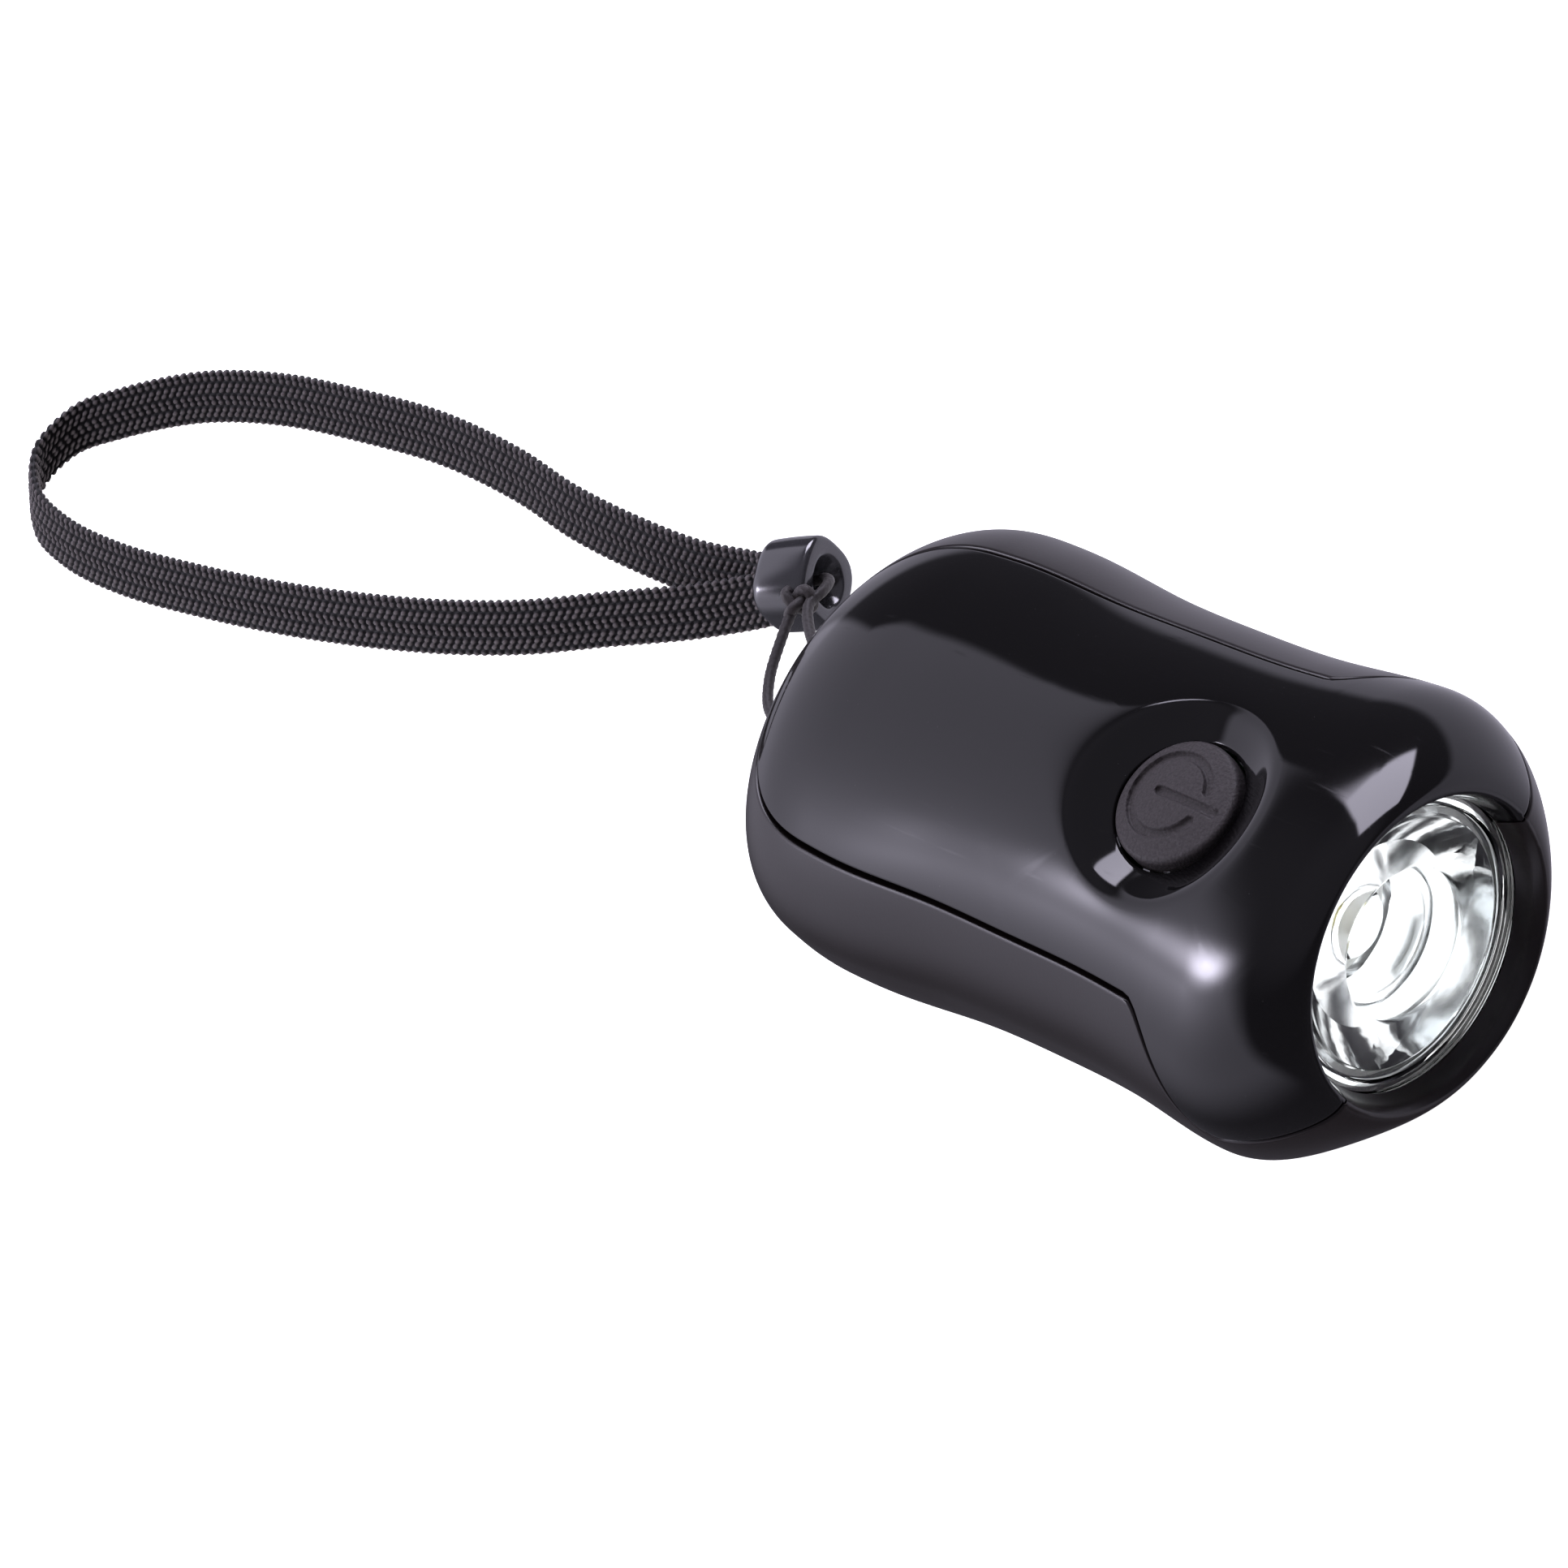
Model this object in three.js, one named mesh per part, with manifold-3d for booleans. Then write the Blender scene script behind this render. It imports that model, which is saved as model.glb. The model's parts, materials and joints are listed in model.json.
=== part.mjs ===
// A palm-sized hand crank flashlight with a wrist strap, in millimetres.
// The lens looks along +X, the button faces +Z and the folding crank sits flush in the flat base.
// The origin is on the base, below the middle of the body.
import * as THREE from 'three';
import { mergeVertices } from 'three/addons/utils/BufferGeometryUtils.js';
import Module from 'manifold-3d';

const wasm = await Module();
wasm.setup();

// Clearances and counts shared by all pieces
const seatGap = 0.3;
const runningGap = 0.2;
const overrun = 6;
const fineSides = 14;
const roundSides = 24;
const screwSides = 8;

// Body: overall form
const bodyLength = 88;
const lensHeight = 16.8;
const rimRadius = 16.8;
const rearHalfWidth = 25.2;
const waistHalfWidth = 23.8;
const headHalfWidth = 26.1;
const rearTop = 32.6;
const buttonTop = 35;
const browTop = 34.4;
const bellyDrop = 2;
const rearRounding = 19.7;
const shoulderRounding = 13.2;
const browRounding = 5;
const headLength = 18;
const rearBendShare = 2.52;
const roundBendShare = 2;
const crownBendShare = 1.92;
const bellyBendShare = 2.8;

// Body: shells and parting line
const wall = 1.8;
const partingRear = 27.6;
const partingWaist = 28.1;
const partingFront = 15.8;
const partingDropSetback = 20.4;
const partingDropLength = 10;

// Bezel and lens seat
const seatWallLength = 7;
const seatBoreRadius = 14.9;
const grooveLength = 2.7;
const lipLength = 2.9;
const lipRadius = 15.2;
const bezelMouthRadius = 16.3;

// Button and its dimple
const buttonSetback = 24.2;
const buttonRadius = 6.9;
const buttonSink = 1.5;
const buttonDome = 0.5;
const buttonEdge = 0.6;
const buttonTravel = 0.9;
const buttonFlange = 1;
const buttonFlangeThickness = 1;
const buttonStemRadius = 1.5;
const dimpleRadius = 11.1;
const dimpleDepth = 4.2;

// Crank drum, arm and knob
const crankPlace = 27;
const drumRadius = 14.4;
const drumTop = 10.6;
const drumLift = 0.6;
const drumWall = 1.4;
const drumRoof = 1.2;
const wellGap = 0.4;
const wellWall = 1.4;
const hingeOffset = 8.2;
const hingeHeight = 2;
const hingePinRadius = 0.8;
const hingePinLength = 12;
const armWidth = 7;
const armThickness = 3;
const armReach = 19.5;
const armRootRadius = 1.6;
const armSlotGap = 0.4;
const knobReach = 15.5;
const knobRadius = 3.3;
const knobHeight = 5;
const knobWaist = 0.5;
const rivetRadius = 1;
const rivetHeadRadius = 1.9;
const rivetHeadThickness = 0.8;
const shaftRadius = 2;
const shaftSocketDepth = 5;

// Gear train
const toothModule = 0.6;
const driveTeeth = 36;
const pinionTeeth = 10;
const wheelTeeth = 26;
const driveThickness = 2;
const wheelThickness = 1.4;
const levelGap = 0.4;
const axleRadius = 0.75;
const hubRadius = 1.9;
const backlash = 0.12;
const wheelTipShare = 0.6;
const pinionTipShare = 1;
const wheelRootShare = 1.3;
const pinionRootShare = 0.9;
const pressureShare = 1 / 9;
const firstTurnShare = -5 / 36;
const secondTurnShare = 13 / 36;
const rotorTurnShare = 38 / 36;

// Gearbox plates, their posts and screws
const plateThickness = 1.2;
const plateCorner = 3.4;
const postRadius = 2.2;
const pillarRearReach = 11;
const pillarRearY = 13;
const pillarFrontReach = 23;
const pillarFrontY = 9;
const pillarSideReach = 12;
const pillarSideY = 14.5;
const smallScrewRadius = 0.8;
const smallScrewHeadRadius = 1.7;
const smallScrewHeadThickness = 1;
const bearingRadius = 3.6;

// Generator
const canRadius = 11;
const canWall = 0.8;
const canHeight = 7.4;
const windingInner = 6.6;
const windingOuter = 9.4;
const bobbinFlange = 0.7;
const magnetRadius = 5;
const magnetHeight = 5;
const rotorShaftRadius = 0.75;
const rotorShaftTop = 0.8;

// Case screws
const rearScrewX = 9;
const rearScrewY = 9.5;
const frontScrewSetback = 33;
const frontScrewY = 15;
const caseScrewRadius = 1.25;
const caseScrewHeadRadius = 2.3;
const caseScrewHeadThickness = 1.7;
const caseScrewSink = 4;
const caseScrewLength = 14;
const caseBossRadius = 3.3;
const caseBossTop = 11;
const topBossRadius = 2.7;

// Circuit board, switch and battery
const boardLength = 19.1;
const boardClearance = 0.9;
const boardHalfWidth = 12;
const boardBottom = 23;
const boardThickness = 1.2;
const boardScrewInset = 2.2;
const boardBossRadius = 2;
const switchSize = 6;
const switchHeight = 3;
const plungerRadius = 1.6;
const plungerShow = 0.5;
const cellRadius = 7.7;
const cellThickness = 5.6;
const cellCount = 3;
const cellGap = 0.3;
const cradleHeight = 6;
const cradleWall = 1.6;
const tabThickness = 0.5;
const tabRadius = 5;

// Lamp: board, emitter, holder, lens and gasket
const lampBoardSetback = 2.7;
const lampBoardRadius = 8;
const lampBoardThickness = 1.2;
const emitterSize = 3.4;
const emitterThickness = 0.8;
const emitterDomeRadius = 1.4;
const holderWall = 0.9;
const holderFootRadius = 6.6;
const holderFlange = 14.6;
const holderFlangeThickness = 1;
const lensFlangeRadius = 15.5;
const lensFlangeThickness = 1.2;
const lensBackRadius = 4.4;
const lensBowlRadius = 13.2;
const lensDepth = 10.4;
const lensBackWell = 3;
const lensBackWellRadius = 2.9;
const lensFrontWell = 3.4;
const lensFrontWellRadius = 7.8;
const lensCrown = 2;
const gasketInset = 0.9;
const gasketThickness = 0.6;

// Wires inside the body
const wireRadius = 0.5;
const wireSpread = 3;
const wireDrop = 2.4;

// Lanyard bar at the rear
const lanyardHeight = 12;
const lanyardBarRadius = 1.5;
const lanyardBarPlace = 2.6;
const lanyardPocketDepth = 6.4;
const lanyardPocketWidth = 8;
const lanyardPocketHeight = 7;
const lanyardBlockWall = 1.6;
const lanyardBarGrip = 1.4;

// Strap: thin cord, bead and flat webbing
const cordDiameter = 1.3;
const webbingWidth = 7.2;
const webbingThickness = 1.5;
const webbingLeanShare = 0.7;
const webbingSides = 8;
const beadRadius = 4.9;
const beadLength = 8.6;
const beadRounding = 1.6;
const beadLipRounding = 0.8;
const beadBendShare = 2.8;
const beadMouthRadius = 3;
const beadMouthDepth = 2.4;
const beadThroatRadius = 1.7;
const beadThroatDepth = 3.8;
const beadSides = 20;
const beadPlace = [-25.2, 13.9];
const beadTurnShare = 0.065;

// Colours
const pianoBlack = new THREE.MeshStandardMaterial({ color: 0x0b0b0d, roughness: 0.08 });
const satinBlack = new THREE.MeshStandardMaterial({ color: 0x2a2a2c, roughness: 0.4 });
const rubber = new THREE.MeshStandardMaterial({ color: 0x2b2a2a, roughness: 0.75 });
const clearPlastic = new THREE.MeshStandardMaterial({
  color: 0xe8eef2,
  roughness: 0.05,
  transparent: true,
  opacity: 0.5,
});
const steel = new THREE.MeshStandardMaterial({ color: 0xb9bcc0, roughness: 0.3, metalness: 1 });
const brass = new THREE.MeshStandardMaterial({ color: 0xc9a24a, roughness: 0.35, metalness: 1 });
const copper = new THREE.MeshStandardMaterial({ color: 0xb0602f, roughness: 0.4, metalness: 1 });
const nylon = new THREE.MeshStandardMaterial({ color: 0xe9e6dc, roughness: 0.5 });
const boardGreen = new THREE.MeshStandardMaterial({ color: 0x1f5a36, roughness: 0.5 });
const whitePlastic = new THREE.MeshStandardMaterial({ color: 0xf2f2ef, roughness: 0.4 });
const ceramic = new THREE.MeshStandardMaterial({ color: 0xf4e9a0, roughness: 0.3 });
const magnetGrey = new THREE.MeshStandardMaterial({ color: 0x4c4f54, roughness: 0.35, metalness: 0.8 });
const wireRed = new THREE.MeshStandardMaterial({ color: 0xb3231f, roughness: 0.5 });
const wireBlack = new THREE.MeshStandardMaterial({ color: 0x151515, roughness: 0.5 });
const webbingBlack = new THREE.MeshStandardMaterial({ color: 0x1d1d1f, roughness: 0.85 });

const part = new THREE.Group();
const torch = new THREE.Group();
torch.position.x = -bodyLength / 2;
part.add(torch);

// Turns a closed geometry into a solid that can be cut and joined.
function solid(geometry) {
  const bare = new THREE.BufferGeometry();
  bare.setAttribute('position', geometry.getAttribute('position').clone());
  bare.setIndex(geometry.index);
  const merged = mergeVertices(bare);
  const corners = merged.index.array;
  const place = merged.attributes.position;
  const kept = [];
  let volume = 0;
  const [a, b, c] = [new THREE.Vector3(), new THREE.Vector3(), new THREE.Vector3()];
  for (let i = 0; i < corners.length; i += 3) {
    const [p, q, r] = [corners[i], corners[i + 1], corners[i + 2]];
    if (p === q || q === r || r === p) continue;
    kept.push(p, q, r);
    a.fromBufferAttribute(place, p);
    b.fromBufferAttribute(place, q);
    c.fromBufferAttribute(place, r);
    volume += a.dot(b.cross(c));
  }
  if (volume < 0) kept.reverse();
  return new wasm.Manifold(new wasm.Mesh({
    numProp: 3,
    vertProperties: Float32Array.from(place.array),
    triVerts: Uint32Array.from(kept),
  }));
}

// Adds a finished solid to the flashlight under its name.
function piece(name, body, material, home = torch) {
  const cut = body.getMesh();
  const geometry = new THREE.BufferGeometry();
  geometry.setAttribute('position', new THREE.BufferAttribute(cut.vertProperties, 3));
  geometry.setIndex(new THREE.BufferAttribute(cut.triVerts, 1));
  geometry.computeVertexNormals();
  const mesh = new THREE.Mesh(geometry, material);
  mesh.name = name;
  home.add(mesh);
}

const join = (...bodies) => bodies.reduce((all, next) => all.add(next));
const cut = (body, ...tools) => tools.reduce((rest, tool) => rest.subtract(tool), body);

// An upright round post from one height to another.
function post([x, y], bottom, top, radius, sides = fineSides) {
  const geometry = new THREE.CylinderGeometry(radius, radius, top - bottom, sides);
  geometry.rotateX(Math.PI / 2);
  geometry.translate(x, y, (bottom + top) / 2);
  return solid(geometry);
}

// A round rod along the body, about a line at the given side place and height.
function rodAlong([y, z], start, end, radius, sides = fineSides) {
  const geometry = new THREE.CylinderGeometry(radius, radius, end - start, sides);
  geometry.rotateZ(-Math.PI / 2);
  geometry.translate((start + end) / 2, y, z);
  return solid(geometry);
}

// A round rod across the body.
function rodAcross([x, z], start, end, radius, sides = fineSides) {
  const geometry = new THREE.CylinderGeometry(radius, radius, end - start, sides);
  geometry.translate(x, (start + end) / 2, z);
  return solid(geometry);
}

function block([x0, x1], [y0, y1], [z0, z1]) {
  const geometry = new THREE.BoxGeometry(x1 - x0, y1 - y0, z1 - z0);
  geometry.translate((x0 + x1) / 2, (y0 + y1) / 2, (z0 + z1) / 2);
  return solid(geometry);
}

// A turned shape from points of radius and height, about an upright axis.
function turned(profile, [x, y] = [0, 0], sides = fineSides) {
  const geometry = new THREE.LatheGeometry(profile.map(([r, h]) => new THREE.Vector2(r, h)), sides);
  geometry.rotateX(Math.PI / 2);
  geometry.translate(x, y, 0);
  return solid(geometry);
}

// The same about the lamp's axis, from points of radius and place along the body.
function turnedAlong(profile, sides = roundSides) {
  const geometry = new THREE.LatheGeometry(profile.map(([r, x]) => new THREE.Vector2(r, x)), sides);
  geometry.rotateZ(-Math.PI / 2);
  geometry.rotateX(Math.PI / 2);
  geometry.translate(0, 0, lensHeight);
  return solid(geometry);
}

// An outline in plan, raised from one height to another.
function raised(shape, bottom, top, sides = fineSides) {
  const options = { depth: top - bottom, bevelEnabled: false, curveSegments: sides };
  const geometry = new THREE.ExtrudeGeometry(shape, options);
  geometry.translate(0, 0, bottom);
  return solid(geometry);
}

// A closed skin over rings of points, each ring the same count, ends capped by fans.
function skin(rings) {
  const count = rings[0].length;
  const points = rings.flat();
  const faces = [];
  rings.slice(1).forEach((_, i) => {
    for (let j = 0; j < count; j += 1) {
      const next = (j + 1) % count;
      const [a, b] = [i * count + j, i * count + next];
      faces.push(a, b, b + count, a, b + count, a + count);
    }
  });
  [[0, 1], [rings.length - 1, 0]].forEach(([ring, flip]) => {
    const middle = new THREE.Vector3();
    rings[ring].forEach((p) => middle.addScaledVector(p, 1 / count));
    points.push(middle);
    const hub = points.length - 1;
    for (let j = 0; j < count; j += 1) {
      const [a, b] = [ring * count + j, ring * count + (j + 1) % count];
      faces.push(...(flip ? [hub, b, a] : [hub, a, b]));
    }
  });
  const geometry = new THREE.BufferGeometry().setFromPoints(points);
  geometry.setIndex(faces);
  return solid(geometry);
}

// Body form: half width, top and bottom at each place along the body

const smooth = (t) => {
  const s = THREE.MathUtils.clamp(t, 0, 1);
  return s * s * (3 - 2 * s);
};

// How far a rounded end has opened: 0 at the end, 1 past the rounding.
const opened = (distance, rounding, bendShare) => {
  const left = THREE.MathUtils.clamp(1 - distance / rounding, 0, 1);
  return (1 - left ** bendShare) ** (1 / bendShare);
};

// A soft curve drawn by evenly spaced guide values, as a uniform cubic spline.
function guided(values, x) {
  const spans = values.length - 3;
  const along = THREE.MathUtils.clamp(x / bodyLength, 0, 1) * spans;
  const i = Math.min(Math.floor(along), spans - 1);
  const t = along - i;
  const weights = [
    (1 - t) ** 3,
    3 * t ** 3 - 6 * t ** 2 + 4,
    -3 * t ** 3 + 3 * t ** 2 + 3 * t + 1,
    t ** 3,
  ];
  return weights.reduce((sum, weight, k) => sum + weight * values[i + k] / 6, 0);
}

const noseGuideShares = [0.923, 0.572];
const widthGuides = [
  rearHalfWidth,
  rearHalfWidth,
  rearHalfWidth,
  (rearHalfWidth + headHalfWidth) / 2,
  waistHalfWidth,
  waistHalfWidth,
  waistHalfWidth,
  headHalfWidth,
  headHalfWidth * noseGuideShares[0],
  headHalfWidth * noseGuideShares[1],
];
const topGuides = [
  rearTop,
  rearTop,
  rearTop,
  (rearTop + buttonTop) / 2,
  (rearTop + 3 * buttonTop) / 4,
  buttonTop,
  buttonTop,
  (buttonTop + browTop) / 2,
  browTop,
  browTop,
];

// The section at one place, drawn inwards by an inset.
function section(x, inset = 0) {
  const rear = opened(x - inset, rearRounding - inset, rearBendShare);
  const shoulder = opened(bodyLength - x, shoulderRounding, roundBendShare);
  const brow = opened(bodyLength - x, browRounding, roundBendShare);
  const head = smooth((x - bodyLength + headLength) / headLength);
  const width = rimRadius + (guided(widthGuides, x) - rimRadius) * shoulder;
  const crown = guided(topGuides, x) - lensHeight;
  const rise = rimRadius + (crown - rimRadius) * brow;
  const drop = lensHeight + bellyDrop * (1 - head);
  return {
    halfWidth: (width - inset) * rear,
    rise: (rise - inset) * rear,
    drop: (drop - inset) * rear,
    crownBend: crownBendShare + (2 - crownBendShare) * head,
    bellyBend: bellyBendShare + (2 - bellyBendShare) * head,
  };
}

// The outline of a section as points round the body.
function sectionRing(x, inset, count) {
  const { halfWidth, rise, drop, crownBend, bellyBend } = section(x, inset);
  return Array.from({ length: count }, (_, i) => {
    const angle = 2 * Math.PI * i / count;
    const [c, s] = [Math.cos(angle), Math.sin(angle)];
    const bend = s < 0 ? bellyBend : crownBend;
    const y = halfWidth * Math.sign(c) * Math.abs(c) ** (2 / bend);
    const z = (s < 0 ? drop : rise) * Math.sign(s) * Math.abs(s) ** (2 / bend);
    return new THREE.Vector3(x, y, lensHeight + z);
  });
}

// The height of the outer skin above a place in plan.
function skinHeight(x, y) {
  const { halfWidth, rise, crownBend } = section(x);
  const share = Math.min(Math.abs(y) / halfWidth, 1);
  return lensHeight + rise * (1 - share ** crownBend) ** (1 / crownBend);
}

const partingDropStart = bodyLength - partingDropSetback;
const partingHeight = (x) => {
  const side = partingRear + (partingWaist - partingRear) * x / partingDropStart;
  const share = smooth((x - partingDropStart) / partingDropLength);
  return side + (partingFront - side) * share;
};

// Places along the body, closer together where an end is rounded.
function stations(start, end, rearSteps, middleSteps, frontSteps) {
  const rearEnd = rearRounding;
  const frontStart = bodyLength - shoulderRounding;
  const list = [];
  for (let i = 0; i < rearSteps; i += 1) list.push(start + (rearEnd - start) * (i / rearSteps) ** 2);
  for (let i = 0; i < middleSteps; i += 1) list.push(rearEnd + (frontStart - rearEnd) * i / middleSteps);
  for (let i = 0; i <= frontSteps; i += 1) {
    list.push(frontStart + (end - frontStart) * Math.sin(Math.PI / 2 * i / frontSteps));
  }
  return list;
}

const outer = skin(stations(0, bodyLength, 7, 6, 6).map((x) => sectionRing(x, 0, 32)));
const cavityEnd = bodyLength - seatWallLength;
const hollow = (inset) => skin(stations(inset, cavityEnd, 4, 4, 2).map((x) => sectionRing(x, inset, 20)));
const underside = (top) => block(
  [-overrun, bodyLength + overrun],
  [-headHalfWidth - overrun, headHalfWidth + overrun],
  [-bellyDrop - overrun, top],
);

// A round plug over the button place whose underside is the dimple's bowl, drawn down by an offset.
const buttonPlace = bodyLength - buttonSetback;
const buttonHoleRadius = buttonRadius + seatGap;
const bowlDepth = (reach) => dimpleDepth * Math.max(1 - (reach / dimpleRadius) ** 2, 0);
function dimplePlug(offset, radii) {
  const ringPoints = 20;
  const rings = radii.map((reach) => Array.from({ length: ringPoints }, (_, j) => {
    const angle = 2 * Math.PI * j / ringPoints;
    const [x, y] = [buttonPlace + reach * Math.cos(angle), reach * Math.sin(angle)];
    return new THREE.Vector3(x, y, skinHeight(x, y) - bowlDepth(reach) - offset);
  }));
  const lid = rings.at(-1).map((p) => new THREE.Vector3(p.x, p.y, buttonTop + overrun));
  const rim = lid.map((p) => new THREE.Vector3((p.x + buttonPlace) / 2, p.y / 2, p.z));
  return skin([...rings, lid, rim]);
}

const dimpleMiddle = (buttonHoleRadius + dimpleRadius) / 2;
const plugRadii = [buttonHoleRadius / 2, buttonHoleRadius, dimpleMiddle, dimpleRadius];
const cavityPlug = dimplePlug(wall, [...plugRadii, dimpleRadius + wall]);
const cavity = cut(hollow(wall), underside(wall), cavityPlug);

// The parting line as a wall across the body: everything below it, less a share of the gap.
function belowParting(shift) {
  const steps = 30;
  const outline = new THREE.Shape();
  outline.moveTo(-overrun, -bellyDrop - overrun);
  outline.lineTo(bodyLength + overrun, -bellyDrop - overrun);
  outline.lineTo(bodyLength + overrun, partingFront + shift);
  for (let i = 0; i <= steps; i += 1) {
    const x = partingDropStart + partingDropLength * (1 - i / steps);
    outline.lineTo(x, partingHeight(x) + shift);
  }
  outline.lineTo(-overrun, partingHeight(-overrun) + shift);
  const width = 2 * (headHalfWidth + overrun);
  const geometry = new THREE.ExtrudeGeometry(outline, { depth: width, bevelEnabled: false });
  geometry.rotateX(Math.PI / 2);
  geometry.translate(0, width / 2, 0);
  return solid(geometry);
}

// Lens seat: bore, groove for the lens and gasket, lip and flared mouth

const lipStart = bodyLength - lipLength;
const grooveStart = lipStart - grooveLength;
const grooveRadius = lensFlangeRadius + seatGap;
const lensSeat = turnedAlong([
  [0, cavityEnd - overrun],
  [seatBoreRadius, cavityEnd - overrun],
  [seatBoreRadius, grooveStart],
  [grooveRadius, grooveStart],
  [grooveRadius, lipStart],
  [lipRadius, lipStart],
  [bezelMouthRadius, bodyLength],
  [bezelMouthRadius, bodyLength + overrun],
  [0, bodyLength + overrun],
]);

// The lens and what stands behind it: lamp board, battery and circuit board
const flangeFront = lipStart - seatGap;
const flangeBack = flangeFront - lensFlangeThickness;
const lensBack = flangeBack - lensDepth;
const lampBoardStart = lensBack - lampBoardSetback;
const cradleReach = cellRadius + cradleWall / 2;
const cellPlace = lampBoardStart - cradleReach;
const boardEnd = lampBoardStart - boardClearance;
const boardStart = boardEnd - boardLength;

// Heights of the crank and gear levels

const plateBottom = drumTop + levelGap;
const plateTop = plateBottom + plateThickness;
const driveBottom = plateTop + levelGap;
const driveTop = driveBottom + driveThickness;
const firstWheelBottom = driveTop + levelGap;
const firstWheelTop = firstWheelBottom + wheelThickness;
const secondWheelBottom = firstWheelTop + levelGap;
const secondWheelTop = secondWheelBottom + wheelThickness;
const coverBottom = secondWheelTop + levelGap;
const coverTop = coverBottom + plateThickness;

const pitch = (teeth) => toothModule * teeth / 2;
const around = ([x, y], reach, turnShare) => [
  x + reach * Math.cos(2 * Math.PI * turnShare),
  y + reach * Math.sin(2 * Math.PI * turnShare),
];
const crankAxis = [crankPlace, 0];
const firstAxis = around(crankAxis, pitch(driveTeeth + pinionTeeth), firstTurnShare / 2);
const secondAxis = around(firstAxis, pitch(wheelTeeth + pinionTeeth), secondTurnShare / 2);
const rotorAxis = around(secondAxis, pitch(wheelTeeth + pinionTeeth), rotorTurnShare / 2);

const gearboxPosts = [
  [crankPlace - pillarRearReach, -pillarRearY],
  [crankPlace + pillarFrontReach, -pillarFrontY],
  [crankPlace + pillarSideReach, pillarSideY],
  [crankPlace - pillarRearReach, pillarRearY],
];
const frontScrewX = bodyLength - frontScrewSetback;
const caseScrewPlaces = [
  [rearScrewX, rearScrewY],
  [rearScrewX, -rearScrewY],
  [frontScrewX, frontScrewY],
  [frontScrewX, -frontScrewY],
];
const boardScrewPlaces = [boardStart + boardScrewInset, boardEnd - boardScrewInset].flatMap((x) => (
  [boardScrewInset - boardHalfWidth, boardHalfWidth - boardScrewInset].map((y) => [x, y])
));

// Bottom shell: base, crank well, screw posts and the lanyard pocket

const wellRadius = drumRadius + wellGap;
const wellTop = plateBottom - seatGap;
const lanyardPocketBottom = lanyardHeight - lanyardPocketHeight / 2;
const lanyardPocketTop = lanyardHeight + lanyardPocketHeight / 2;
const lanyardBlock = block(
  [-overrun, lanyardPocketDepth + lanyardBlockWall],
  [-lanyardPocketWidth / 2 - lanyardBlockWall, lanyardPocketWidth / 2 + lanyardBlockWall],
  [
    lanyardPocketBottom - lanyardBlockWall - lanyardBarGrip,
    lanyardPocketTop + lanyardBlockWall + lanyardBarGrip,
  ],
).intersect(outer);
const lanyardPocket = block(
  [-overrun, lanyardPocketDepth],
  [-lanyardPocketWidth / 2, lanyardPocketWidth / 2],
  [lanyardPocketBottom, lanyardPocketTop],
);
const lanyardBarSpan = [lanyardPocketBottom - lanyardBarGrip, lanyardPocketTop + lanyardBarGrip];
const smallScrewBore = smallScrewRadius + runningGap;
const caseScrewBore = caseScrewRadius + runningGap;
const headBore = caseScrewHeadRadius + seatGap;
const headSeat = caseScrewSink + caseScrewHeadThickness + seatGap;
const floorTop = wall - wall / 4;
const belowCut = belowParting(-seatGap / 2);
const bottomShell = cut(
  join(
    cut(outer.intersect(belowCut), cavity),
    post(crankAxis, wall / 2, wellTop, wellRadius + wellWall, roundSides),
    ...gearboxPosts.map((place) => post(place, floorTop, wellTop, postRadius, screwSides)),
    ...caseScrewPlaces.map((place) => post(place, floorTop, caseBossTop, caseBossRadius, fineSides)),
    lanyardBlock,
  ),
  underside(0),
  post(crankAxis, -overrun, drumTop + overrun, wellRadius, roundSides),
  ...gearboxPosts.map((place) => post(place, wall + seatGap, plateTop, smallScrewBore, screwSides)),
  ...caseScrewPlaces.map((place) => post(place, -overrun, headSeat, headBore, fineSides)),
  ...caseScrewPlaces.map((place) => post(place, 0, caseBossTop + overrun, caseScrewBore, screwSides)),
  lanyardPocket,
  post(
    [lanyardBarPlace, 0],
    lanyardBarSpan[0] - seatGap,
    lanyardBarSpan[1] + seatGap,
    lanyardBarRadius + runningGap,
  ),
  lensSeat,
);
piece('bottom_shell', bottomShell, satinBlack);
piece('lanyard_bar', post([lanyardBarPlace, 0], ...lanyardBarSpan, lanyardBarRadius), steel);

// Top shell: glossy cover with the dimple, the button hole and its screw bosses

const boardTop = boardBottom + boardThickness;
const screwTip = caseScrewSink + caseScrewHeadThickness + caseScrewLength;
const innerSpace = hollow(wall + seatGap);
const aboveCut = cut(outer, belowParting(seatGap / 2));
const bossFill = (place, bottom, radius) => {
  const column = post(place, bottom, buttonTop, radius, screwSides);
  return join(column.intersect(innerSpace), column.intersect(aboveCut));
};
const topShell = cut(
  join(
    cut(aboveCut, cavity),
    ...caseScrewPlaces.map((place) => bossFill(place, caseBossTop + seatGap, topBossRadius)),
    ...boardScrewPlaces.map((place) => bossFill(place, boardTop + seatGap, boardBossRadius)),
  ),
  dimplePlug(0, plugRadii),
  post([buttonPlace, 0], boardTop, buttonTop + overrun, buttonHoleRadius, roundSides),
  ...caseScrewPlaces.map((place) => post(place, caseBossTop, screwTip + seatGap, caseScrewBore, screwSides)),
  ...boardScrewPlaces.map((place) => (
    post(place, boardBottom, boardTop + boardThickness + seatGap, smallScrewBore, screwSides)
  )),
  lensSeat,
);
piece('top_shell', topShell, pianoBlack);

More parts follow.
